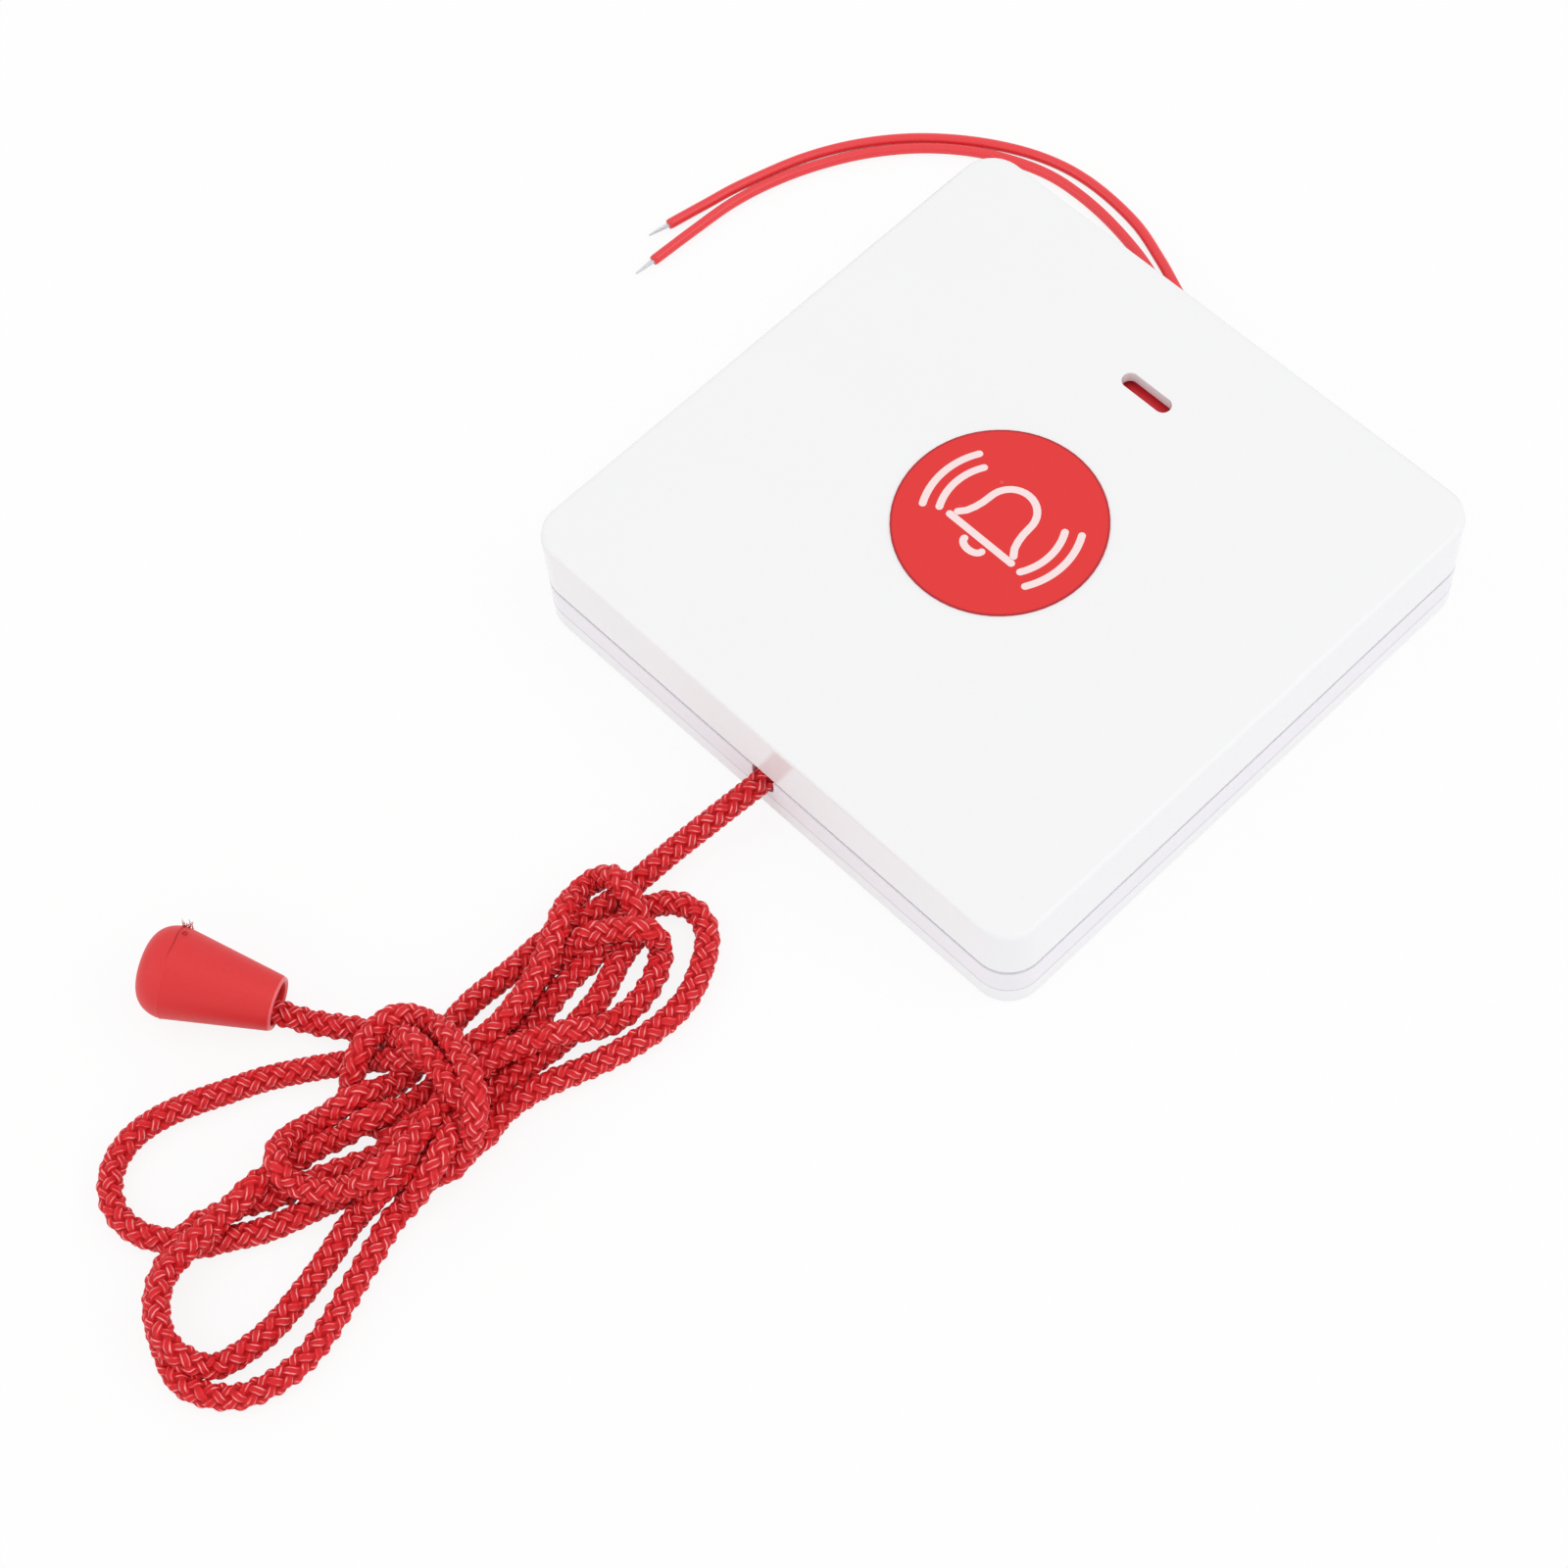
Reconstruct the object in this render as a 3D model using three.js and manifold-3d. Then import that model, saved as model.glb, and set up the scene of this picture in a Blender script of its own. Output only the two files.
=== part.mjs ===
// Wall emergency button: a square wall plate with a sprung press panel, and a red pull cord
// that works a second switch by a slide. Millimetres, +Z out of the wall, +Y up the wall.
// The origin is the middle of the plate's back face.
import * as THREE from 'three';
import { mergeVertices } from 'three/addons/utils/BufferGeometryUtils.js';
import Module from 'manifold-3d';

const wasm = await Module();
wasm.setup();

// Plate
const plateSide = 86; // outer side of every band
const plateCorner = 5; // corner radius in plan
const baseHeight = 3.4; // height of the base's rim
const frameHeight = 4.5; // visible height of the middle frame
const skirtHeight = 9.4; // height of the front panel
const panelTravel = 0.6; // press stroke of the front panel
const seamSpare = 0.1; // left between panel and frame when pressed
const baseWall = 1.8;
const frameWall = 1.8;
const panelWall = 1.8;
const panelThickness = 1.8;
const floorThickness = 1.8;
const deckThickness = 1.8;
const panelEdgeRound = 0.8; // rounded edge round the face
const baseEdgeRound = 0.4; // small radius round the back
const nestDepth = 1; // how far the frame's deck reaches down into the base
const nestClear = 0.2;
const lipThickness = 0.9; // upstand of the frame that closes the seam from inside
const lipHeight = 2.6; // above the frame's edge
const lipClear = 0.3;

// Face details
const slotLength = 8;
const slotWidth = 2.4;
const slotY = 27.4;
const discRadius = 14;
const discThickness = 0.15;

// Base openings
const screwSpacing = 60.3; // wall box screws
const wallSlotWidth = 4.2;
const wallSlotLength = 8;
const driverWindowLength = 12;
const driverWindowWidth = 10;
const rearOpeningX = [-17, 9];
const rearOpeningY = [-11, 9];
const channelWidth = 5.4;
const channelX = -2.05;
const channelHeight = 1.9;
const portX = [-15.6, -11];
const portY = [-7.4, 0];

// Panel guides and hooks
const guideInset = 9; // guide pins this far in from both sides of a corner
const guidePinRadius = 1.6;
const guideClear = 0.3;
const guideTubeWall = 1.2;
const guidePinHeight = 8.4; // above the deck
const guideTubeLength = 6.8; // below the panel's underside
const hookInset = 19; // from a corner to the middle of the nearest hook
const hookWidth = 6;
const hookThickness = 1.2;
const hookGap = 1.6; // between the skirt and the hook
const hookReach = 0.8; // how far barb and ledge stick out
const hookClear = 0.3;
const hookDrop = 7; // length of a hook below the panel's underside
const barbHeight = 1;
const catchRest = 0.1; // between barb and ledge at rest
const catchThickness = 1.3;

// Springs
const panelSpringWire = 0.5;
const panelSpringRadius = 2.6; // to the middle of the wire
const panelSpringCoils = 4;
const slideSpringWire = 0.36;
const slideSpringRadius = 1.2;
const slideSpringCoils = 8;
const springSeat = 0.1; // clearance at each end of a spring
const stepsPerCoil = 8;

// Screws, one size throughout
const screwShankRadius = 1;
const screwHeadRadius = 1.9;
const screwHeadHeight = 1.3;
const screwClear = 0.3; // round the shank in a clearance hole
const screwBite = 0.15; // round the shank in a boss, where the thread cuts
const screwLength = 3.2; // shank
const crossWidth = 0.5;
const crossDepth = 0.7;
const screwTipClear = 0.4; // from a screw's tip to the bottom of its hole
const bossRadius = 2.5;
const frameScrewX = 16;
const frameScrewInset = 10; // from the upper and lower sides of the plate

// Circuit board and switches
const boardX = [-21, 21];
const boardY = [-15, 10];
const boardThickness = 1.6;
const boardGap = 3.4; // deck to board
const boardScrewX = 18;
const boardScrewY = [-12, 7];
const pressSwitchSide = 6;
const pressSwitchHeight = 3.6;
const pressPlungerRadius = 1.7;
const pressPlungerStand = 1.2; // above the switch body
const plungerClear = 0.2;
const plungerGap = 0.1; // between a plunger and what pushes it
const panelPostRadius = 2.5;
const pullSwitchX = 12.2;
const pullSwitchWidth = 6;
const pullSwitchLength = 8;
const pullSwitchHeight = 5;
const pullPlungerSide = 2.4;
const pullPlungerInner = 4.4; // length inside the switch body
const pullSwitchInset = 2; // from the board's upper edge
const switchBack = 0.8; // material behind the pull plunger's bore
const switchFloor = 0.5; // material under the press plunger's bore

// Pull slide
const slideTravel = 2.4;
const slideHalfWidth = 4.6;
const slideLift = 0.3; // over the deck
const slideThickness = 2.2;
const slideClear = 0.3;
const railThickness = 1.3;
const railHeight = 2.2;
const fingerThickness = 2.4;
const fingerWidth = 4.6;
const fingerRise = 9.1; // height of the finger that works the pull switch
const armThickness = 3.5;
const springArmReach = 5.6;
const springOffset = 2; // from a rail's outer side to the middle of the slide's spring
const springStopTop = 0; // upper side of the block that the slide's spring stands on
const springStopThickness = 3;
const springStopMargin = 0.8; // beside the spring
const flagLength = 12; // red flag seen through the slot
const flagWidth = 6;
const flagThickness = 1.6;
const flagDrop = 2.7; // from the face down to the flag
const flagWebThickness = 2;
const yokeWall = 1.5;
const yokeEnd = 2;
const yokeLength = 9;
const yokeHeight = 4.5;
const yokeNotch = 3.9;
const yokeFloor = 0.5; // left under the notch
const yokeClear = 0.6; // from the board's lower edge to the yoke
const keeperWidth = 3.6;
const keeperY = 19.4;
const keeperHalfLength = 11;
const keeperThickness = 1.4;
const keeperScrewX = 8.5;

// Cord, knob and leads
const cordRadius = 1.7;
const cordNotchRadius = 1.9;
const cordZ = 6.2; // middle of the cord in its notch
const cordGap = 0.4; // between cord pieces that meet
const cordKnotRadius = 2.7;
const knotLift = 0.9; // middle of the knot above the middle of the cord
const stubLift = 0.1; // the stub's end above the middle of the cord
const stubLength = 9.2; // cord from the knot towards the notch
const hankHeight = 8;
const hankEnds = [ // round ends of the bundle in plan: x, y, radius
  [3.2, -71.2, 10.2],
  [-14.6, -130.4, 6.8],
  [5.8, -136.6, 9.4],
];
const knobLength = 19;
const knobBigRadius = 5.9;
const knobMouthRadius = 3.6;
const knobMouthBore = 2.7;
const knobEndBore = 0.8;
const knobCone = 14; // length of the straight taper
const knobWall = 1.2;
const knobMouth = new THREE.Vector2(-21.3, -106.1);
const knobHeading = Math.atan2(-0.386, -0.923); // from the mouth to the round end
const leadRadius = 0.75;
const leadZ = 0.85;
const tipRadius = 0.42;
const tipLength = 3;
const tipGap = 0.3;
const leadEndGap = 0.3; // below the circuit board

// Heights that follow from the above
const frameTop = baseHeight + frameHeight;
const skirtBottom = frameTop + panelTravel + seamSpare;
const faceZ = skirtBottom + skirtHeight;
const panelUnder = faceZ - panelThickness;
const deckBottom = baseHeight - nestDepth;
const deckTop = deckBottom + deckThickness;
const boardBottom = deckTop + boardGap;
const boardTop = boardBottom + boardThickness;
const slideBottom = deckTop + slideLift;
const slideTop = slideBottom + slideThickness;
const keeperBottom = slideTop + slideClear;
const pressBodyTop = boardTop + pressSwitchHeight;
const pressPlungerTop = pressBodyTop + pressPlungerStand;
const tubeEnd = panelUnder - guideTubeLength;
const overcut = 1; // cutters run past the face they cut

// Places in plan that follow from the plate's sides
const halfSide = plateSide / 2;
const guideOffset = halfSide - guideInset;
const hookOffset = halfSide - hookInset;
const frameScrewY = halfSide - frameScrewInset;

// Places along the slide that follow from the board and the pull switch
const pullTipY = boardY[1] + slideTravel + slideClear - plungerGap;
const fingerY = pullTipY + plungerGap;
const pullBodyY = boardY[1] - pullSwitchLength - pullSwitchInset;
const yokeTopY = boardY[0] - yokeClear;
const yokeBottomY = yokeTopY - yokeLength;
const flagY = slotY;
const slideEndY = flagY + flagWidth / 2;
const springX = -(slideHalfWidth + slideClear + railThickness + springOffset);
const springZ = slideBottom + slideSpringRadius + slideSpringWire / 2;

const colours = {
  shell: new THREE.MeshStandardMaterial({ color: 0xf4f4f5, roughness: 0.34 }),
  frame: new THREE.MeshStandardMaterial({ color: 0xf1f0f3, roughness: 0.36 }),
  disc: new THREE.MeshStandardMaterial({ color: 0xe34042, roughness: 0.45 }),
  redPlastic: new THREE.MeshStandardMaterial({ color: 0xd93a3a, roughness: 0.5 }),
  cord: new THREE.MeshStandardMaterial({ color: 0xcc2836, roughness: 0.75 }),
  steel: new THREE.MeshStandardMaterial({ color: 0xb9bcc0, roughness: 0.3, metalness: 1 }),
  board: new THREE.MeshStandardMaterial({ color: 0x1f6b3b, roughness: 0.5 }),
  black: new THREE.MeshStandardMaterial({ color: 0x222225, roughness: 0.45 }),
  lead: new THREE.MeshStandardMaterial({ color: 0xe8383e, roughness: 0.4 }),
  tinned: new THREE.MeshStandardMaterial({ color: 0xc9ccd0, roughness: 0.3, metalness: 1 }),
};

// Booleans
function toSolid(geometry) {
  const bare = geometry.clone();
  bare.deleteAttribute('normal');
  bare.deleteAttribute('uv');
  const merged = mergeVertices(bare, 1e-4);
  return new wasm.Manifold(new wasm.Mesh({
    numProp: 3,
    vertProperties: new Float32Array(merged.attributes.position.array),
    triVerts: new Uint32Array(merged.index.array),
  }));
}

function toGeometry(solid) {
  const mesh = solid.getMesh();
  const geometry = new THREE.BufferGeometry();
  geometry.setAttribute('position', new THREE.BufferAttribute(new Float32Array(mesh.vertProperties), 3));
  geometry.setIndex(new THREE.BufferAttribute(new Uint32Array(mesh.triVerts), 1));
  geometry.computeVertexNormals();
  return geometry;
}

function carve(added, removed = []) {
  const body = added.map(toSolid).reduce((sum, next) => sum.add(next));
  return toGeometry(removed.map(toSolid).reduce((rest, next) => rest.subtract(next), body));
}

// Basic forms
function block(xs, ys, zs) {
  const box = new THREE.BoxGeometry(xs[1] - xs[0], ys[1] - ys[0], zs[1] - zs[0]);
  return box.translate((xs[0] + xs[1]) / 2, (ys[0] + ys[1]) / 2, (zs[0] + zs[1]) / 2);
}

function around(middle, size) {
  return [middle - size / 2, middle + size / 2];
}

function post(radius, x, y, zs, sides = 16) {
  const round = new THREE.CylinderGeometry(radius, radius, zs[1] - zs[0], sides);
  return round.rotateX(Math.PI / 2).translate(x, y, (zs[0] + zs[1]) / 2);
}

function roundedShape(xs, ys, radius) {
  const shape = new THREE.Shape();
  shape.moveTo(xs[0] + radius, ys[0]);
  shape.lineTo(xs[1] - radius, ys[0]);
  shape.absarc(xs[1] - radius, ys[0] + radius, radius, -Math.PI / 2, 0);
  shape.lineTo(xs[1], ys[1] - radius);
  shape.absarc(xs[1] - radius, ys[1] - radius, radius, 0, Math.PI / 2);
  shape.lineTo(xs[0] + radius, ys[1]);
  shape.absarc(xs[0] + radius, ys[1] - radius, radius, Math.PI / 2, Math.PI);
  shape.lineTo(xs[0], ys[0] + radius);
  shape.absarc(xs[0] + radius, ys[0] + radius, radius, Math.PI, Math.PI * 1.5);
  return shape;
}

// Slot with fully round ends; a hair of straight end keeps its arcs apart
function obround(xs, ys) {
  const width = Math.min(xs[1] - xs[0], ys[1] - ys[0]);
  return roundedShape(xs, ys, width / 2 - 0.01);
}

function slab(shape, zs, curveSegments = 6) {
  const options = { depth: zs[1] - zs[0], bevelEnabled: false, curveSegments };
  return new THREE.ExtrudeGeometry(shape, options).translate(0, 0, zs[0]);
}

function squareSlab(side, corner, zs) {
  return slab(roundedShape(around(0, side), around(0, side), corner), zs);
}

function softSlab(side, corner, zs, edge, segments) {
  const inner = side - 2 * edge;
  const options = {
    depth: zs[1] - zs[0] - 2 * edge,
    bevelThickness: edge,
    bevelSize: edge,
    bevelSegments: segments,
    curveSegments: 6,
  };
  const shape = roundedShape(around(0, inner), around(0, inner), corner - edge);
  return new THREE.ExtrudeGeometry(shape, options).translate(0, 0, zs[0] + edge);
}

function tube(points, radius, sides, steps) {
  const section = new THREE.Shape();
  section.absarc(0, 0, radius, 0, Math.PI * 2);
  const extrudePath = new THREE.CatmullRomCurve3(points.map((p) => new THREE.Vector3(...p)));
  const options = { steps, extrudePath, curveSegments: sides, bevelEnabled: false };
  return new THREE.ExtrudeGeometry(section, options);
}

class Helix extends THREE.Curve {
  constructor(radius, coils, length) {
    super();
    this.radius = radius;
    this.coils = coils;
    this.length = length;
  }

  // The first and last turn lie closed, and the turns between share the rest of the length.
  getPoint(t, target = new THREE.Vector3()) {
    const turn = t * this.coils;
    const angle = turn * 2 * Math.PI;
    const closed = 0.06 * this.length;
    const open = THREE.MathUtils.clamp((turn - 1) / (this.coils - 2), 0, 1);
    const dead = Math.min(turn, 1) + Math.max(turn - this.coils + 1, 0);
    const rise = dead * closed + open * (this.length - 2 * closed);
    return target.set(this.radius * Math.cos(angle), this.radius * Math.sin(angle), rise);
  }
}

function spring(radius, wire, coils, length, sides) {
  const section = new THREE.Shape();
  section.absarc(0, 0, wire / 2, 0, Math.PI * 2);
  const extrudePath = new Helix(radius, coils, length - wire);
  const options = { steps: coils * stepsPerCoil, extrudePath, curveSegments: sides, bevelEnabled: false };
  return new THREE.ExtrudeGeometry(section, options).translate(0, 0, wire / 2);
}

// Four corners, four sides
const signs = [-1, 1];
const corners = signs.flatMap((sx) => signs.map((sy) => [sx, sy]));
const quarterTurns = [0, 1, 2, 3].map((n) => n * Math.PI / 2);

function onEverySide(makeOne) {
  return quarterTurns.flatMap((angle) => signs.map((s) => makeOne(s * hookOffset).rotateZ(angle)));
}

// A profile in X and Z, drawn from the skirt inwards, run along the side
function sideProfile(points, along) {
  const shape = new THREE.Shape(points.map(([x, z]) => new THREE.Vector2(x, z)));
  const run = new THREE.ExtrudeGeometry(shape, { depth: hookWidth, bevelEnabled: false });
  return run.rotateX(Math.PI / 2).translate(0, along + hookWidth / 2, 0);
}

const hookOuter = halfSide - panelWall - hookGap;
const hookInner = hookOuter - hookThickness;
const hookBottom = panelUnder - hookDrop;
const barbTop = hookBottom + barbHeight;
const ledgeX = hookInner - hookClear;
const catchOuter = hookInner - hookReach - hookClear + hookClear / 2;
const catchInner = catchOuter - catchThickness;

function hook(along) {
  return sideProfile([
    [hookOuter, panelUnder + overcut / 2],
    [hookOuter, hookBottom],
    [hookInner, hookBottom],
    [catchOuter + hookClear, hookBottom + barbHeight / 2],
    [catchOuter + hookClear, barbTop],
    [hookInner, barbTop],
    [hookInner, panelUnder + overcut / 2],
  ], along);
}

function catchRib(along) {
  const ledgeBottom = barbTop + catchRest;
  return sideProfile([
    [catchInner, deckTop - overcut / 2],
    [catchOuter, deckTop - overcut / 2],
    [catchOuter, ledgeBottom],
    [ledgeX, ledgeBottom],
    [ledgeX, ledgeBottom + barbHeight / 2],
    [catchOuter, ledgeBottom + 1.5 * barbHeight],
    [catchInner, ledgeBottom + 1.5 * barbHeight],
  ], along);
}

function boss(x, y, zs) {
  return post(bossRadius, x, y, zs);
}

function bossHole(x, y, top) {
  return post(screwShankRadius + screwBite, x, y, [top - screwLength - screwBite, top + overcut], 8);
}

// Base plate
const frameScrews = corners.map(([sx, sy]) => [sx * frameScrewX, sy * frameScrewY]);
const boardScrews = signs.flatMap((sx) => boardScrewY.map((y) => [sx * boardScrewX, y]));
const frameScrewShank = deckTop - floorThickness / 2 - screwTipClear;

function basePlate() {
  const rim = softSlab(plateSide, plateCorner, [0, baseHeight + 2 * baseEdgeRound], baseEdgeRound, 2);
  const inner = plateSide - 2 * baseWall;
  const pocket = squareSlab(inner, plateCorner - baseWall, [floorThickness, baseHeight + overcut]);
  const trim = squareSlab(plateSide + overcut, plateCorner, [baseHeight, baseHeight + 2]);
  const bosses = frameScrews.map(([x, y]) => boss(x, y, [floorThickness / 2, deckBottom]));
  const bossHoles = frameScrews.map(([x, y]) => (
    post(screwShankRadius + screwBite, x, y, [floorThickness / 2, deckBottom + overcut], 8)
  ));
  const wallSlots = signs.map((s) => {
    const xs = around(s * screwSpacing / 2, wallSlotWidth);
    return slab(obround(xs, around(0, wallSlotLength)), [-overcut, baseHeight]);
  });
  const rearOpening = slab(roundedShape(rearOpeningX, rearOpeningY, 2), [-overcut, baseHeight], 4);
  const channel = block(around(channelX, channelWidth), [0, halfSide + overcut], [-overcut, channelHeight]);
  const shell = toGeometry(toSolid(rim).subtract(toSolid(pocket)).subtract(toSolid(trim)));
  return carve([shell, ...bosses], [...bossHoles, ...wallSlots, rearOpening, channel]);
}

// Middle frame: the visible band, the deck and everything that stands on the deck
function middleFrame() {
  const fit = plateSide - 2 * (baseWall + nestClear);
  const band = toSolid(squareSlab(plateSide, plateCorner, [baseHeight, frameTop]));
  const inner = plateSide - 2 * frameWall;
  const well = toSolid(squareSlab(inner, plateCorner - frameWall, [deckTop, frameTop + overcut]));
  const nest = squareSlab(fit, plateCorner - baseWall - nestClear, [deckBottom, baseHeight + nestDepth / 4]);
  const lipOuter = plateSide - 2 * (panelWall + lipClear);
  const lipCorner = plateCorner - panelWall - lipClear;
  const lipZs = [deckTop - deckThickness / 2, frameTop + lipHeight];
  const lip = toSolid(squareSlab(lipOuter, lipCorner, lipZs));
  const lipVoidZs = [deckTop, frameTop + 2 * lipHeight];
  const lipInner = squareSlab(lipOuter - 2 * lipThickness, lipCorner - lipThickness, lipVoidZs);
  const shell = toGeometry(band.subtract(well).add(lip.subtract(toSolid(lipInner))));

  const root = deckTop - deckThickness / 2;
  const pins = corners.map(([sx, sy]) => (
    post(guidePinRadius, sx * guideOffset, sy * guideOffset, [root, deckTop + guidePinHeight], 16)
  ));
  const boardPosts = boardScrews.map(([x, y]) => boss(x, y, [root, boardBottom]));
  const boardHoles = boardScrews.map(([x, y]) => bossHole(x, y, boardBottom));
  const keeperPosts = signs.map((s) => boss(s * keeperScrewX, keeperY, [root, keeperBottom]));
  const keeperHoles = signs.map((s) => bossHole(s * keeperScrewX, keeperY, keeperBottom));
  const railInner = slideHalfWidth + slideClear;
  const railRuns = [
    [boardY[0] + slideTravel, fingerY - slideTravel - slideClear],
    [fingerY + armThickness + slideClear, slideEndY],
  ];
  const rails = signs.flatMap((s) => railRuns.map((ys) => {
    const xs = [s * railInner, s * (railInner + railThickness)].sort((a, b) => a - b);
    return block(xs, ys, [root, deckTop + railHeight]);
  }));
  const stopX = [springX - slideSpringRadius - springStopMargin, -railInner - railThickness / 2];
  const stopTop = springZ + slideSpringRadius + slideSpringWire / 2;
  const springStop = block(stopX, [springStopTop - springStopThickness, springStopTop], [root, stopTop]);
  const catches = onEverySide(catchRib);

  const cordCut = [
    new THREE.CylinderGeometry(cordNotchRadius, cordNotchRadius, 3 * frameWall, 24),
    block(around(0, 2 * cordNotchRadius), around(0, 3 * frameWall), [0, frameTop - cordZ + overcut]),
  ].map((cutter) => cutter.translate(0, -halfSide + frameWall / 2, cordZ));
  const windows = signs.map((s) => {
    const xs = around(s * screwSpacing / 2, driverWindowWidth);
    return slab(roundedShape(xs, around(0, driverWindowLength), 2), [0, deckTop + overcut / 2], 4);
  });
  const port = slab(roundedShape(portX, portY, 1), [0, deckTop + overcut], 4);
  const screwHoles = frameScrews.map(([x, y]) => (
    post(screwShankRadius + screwClear, x, y, [0, deckTop + overcut], 10)
  ));
  return carve(
    [shell, nest, ...pins, ...boardPosts, ...keeperPosts, ...rails, springStop, ...catches],
    [...cordCut, ...windows, port, ...screwHoles, ...boardHoles, ...keeperHoles],
  );
}

// Front panel: a skirted cover with its slot, guide tubes, hooks and press post
function frontPanel() {
  const cover = toSolid(softSlab(plateSide, plateCorner, [skirtBottom - 3, faceZ], panelEdgeRound, 3));
  const trim = squareSlab(plateSide + overcut, plateCorner, [skirtBottom - 4, skirtBottom]);
  const inner = plateSide - 2 * panelWall;
  const hollow = squareSlab(inner, plateCorner - panelWall, [skirtBottom - overcut, panelUnder]);
  const shell = toGeometry(cover.subtract(toSolid(trim)).subtract(toSolid(hollow)));

  const bore = guidePinRadius + guideClear;
  const tubes = corners.map(([sx, sy]) => (
    post(bore + guideTubeWall, sx * guideOffset, sy * guideOffset, [tubeEnd, panelUnder + overcut / 2])
  ));
  const bores = corners.map(([sx, sy]) => (
    post(bore, sx * guideOffset, sy * guideOffset, [tubeEnd - overcut, panelUnder - guideClear])
  ));
  const pressPost = post(panelPostRadius, 0, 0, [pressPlungerTop + plungerGap, panelUnder + overcut / 2]);
  const slotCut = obround(around(0, slotLength), around(slotY, slotWidth));
  const slot = slab(slotCut, [panelUnder - overcut, faceZ + overcut]);
  return carve([shell, ...tubes, pressPost, ...onEverySide(hook)], [...bores, slot]);
}

function faceDisc() {
  return post(discRadius, 0, 0, [faceZ, faceZ + discThickness], 64);
}

// Cross-head screw, drawn with its shank down and its head seated at z = 0
function screw(shankLength) {
  const profile = [
    [0, -shankLength],
    [screwShankRadius * 0.5, -shankLength],
    [screwShankRadius, -shankLength + screwShankRadius],
    [screwShankRadius, 0],
    [screwHeadRadius, 0],
    [screwHeadRadius, screwHeadHeight * 0.45],
    [screwHeadRadius * 0.7, screwHeadHeight],
    [0, screwHeadHeight],
  ].map(([r, z]) => new THREE.Vector2(r, z));
  const body = new THREE.LatheGeometry(profile, 12).rotateX(Math.PI / 2);
  const crossZ = [screwHeadHeight - crossDepth, screwHeadHeight + overcut];
  const long = around(0, screwHeadRadius * 1.1);
  const short = around(0, crossWidth);
  return carve([body], [block(long, short, crossZ), block(short, long, crossZ)]);
}

// Circuit board and its two switches
function circuitBoard() {
  const outline = slab(roundedShape(boardX, boardY, 1.5), [boardBottom, boardTop], 3);
  const holes = boardScrews.map(([x, y]) => (
    post(screwShankRadius + screwClear, x, y, [boardBottom - overcut, boardTop + overcut], 10)
  ));
  return carve([outline], holes);
}

function pressSwitch() {
  const body = block(around(0, pressSwitchSide), around(0, pressSwitchSide), [boardTop, pressBodyTop]);
  const boreZs = [boardTop + switchFloor, pressBodyTop + overcut];
  return carve([body], [post(pressPlungerRadius + plungerClear, 0, 0, boreZs)]);
}

function pressPlunger() {
  const bottom = boardTop + switchFloor + panelTravel + plungerClear;
  return post(pressPlungerRadius, 0, 0, [bottom, pressPlungerTop]);
}

const pullPlungerZ = boardTop + pullSwitchHeight / 2;
const pullBodyTopY = pullBodyY + pullSwitchLength;

function pullSwitch() {
  const bodyZs = [boardTop, boardTop + pullSwitchHeight];
  const body = block(around(pullSwitchX, pullSwitchWidth), [pullBodyY, pullBodyTopY], bodyZs);
  const side = pullPlungerSide + 2 * plungerClear;
  const boreYs = [pullBodyY + switchBack, pullBodyTopY + overcut];
  const bore = block(around(pullSwitchX, side), boreYs, around(pullPlungerZ, side));
  return carve([body], [bore]);
}

function pullPlunger() {
  const ys = [pullBodyTopY - pullPlungerInner, pullTipY];
  return block(around(pullSwitchX, pullPlungerSide), ys, around(pullPlungerZ, pullPlungerSide));
}

// Pull slide: bar, yoke for the knotted cord, switch finger, spring arm and the red flag
function pullSlide() {
  const barXs = around(0, 2 * slideHalfWidth);
  const bar = block(barXs, [yokeTopY - overcut / 2, slideEndY], [slideBottom, slideTop]);
  const yoke = block(barXs, [yokeBottomY, yokeTopY], [slideBottom, slideBottom + yokeHeight]);
  const yokeWindow = block(
    around(0, 2 * (slideHalfWidth - yokeWall)),
    [yokeBottomY + yokeEnd, yokeTopY - yokeWall / 1.5],
    [slideBottom - overcut, slideBottom + yokeHeight + overcut],
  );
  const notchFloor = slideBottom + yokeFloor;
  const notchYs = [yokeBottomY - overcut, yokeBottomY + yokeEnd + overcut];
  const notch = block(around(0, yokeNotch), notchYs, [notchFloor, slideBottom + yokeHeight + overcut]);

  const armXs = [-(slideHalfWidth + springArmReach), pullSwitchX + fingerWidth / 2];
  const springArm = block([armXs[0], 0], [fingerY, fingerY + fingerThickness], [slideBottom, slideTop]);
  const fingerArm = block([0, armXs[1]], [fingerY, fingerY + armThickness], [slideBottom, slideTop]);
  const fingerZs = [slideBottom, slideBottom + fingerRise];
  const finger = block(around(pullSwitchX, fingerWidth), [fingerY, fingerY + fingerThickness], fingerZs);

  const flagTop = faceZ - flagDrop;
  const flag = block(around(0, flagLength), around(flagY, flagWidth), [flagTop - flagThickness, flagTop]);
  const webZs = [slideTop - overcut, flagTop - flagThickness / 2];
  const web = block(around(0, 2 * slideHalfWidth - 1), around(flagY, flagWebThickness), webZs);
  const rib = block(around(0, flagWebThickness), around(flagY, flagWidth), webZs);
  return carve([bar, yoke, springArm, fingerArm, finger, flag, web, rib], [yokeWindow, notch]);
}

function slideKeeper() {
  const zs = [keeperBottom, keeperBottom + keeperThickness];
  const shape = obround(around(0, 2 * keeperHalfLength), around(keeperY, keeperWidth));
  const holes = signs.map((s) => (
    post(screwShankRadius + screwClear, s * keeperScrewX, keeperY, [zs[0] - overcut, zs[1] + overcut], 10)
  ));
  return carve([slab(shape, zs, 4)], holes);
}

// Knotted inner end of the pull cord, carried in the slide's yoke
const knotY = yokeBottomY + yokeEnd + slideClear + cordKnotRadius;

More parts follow.
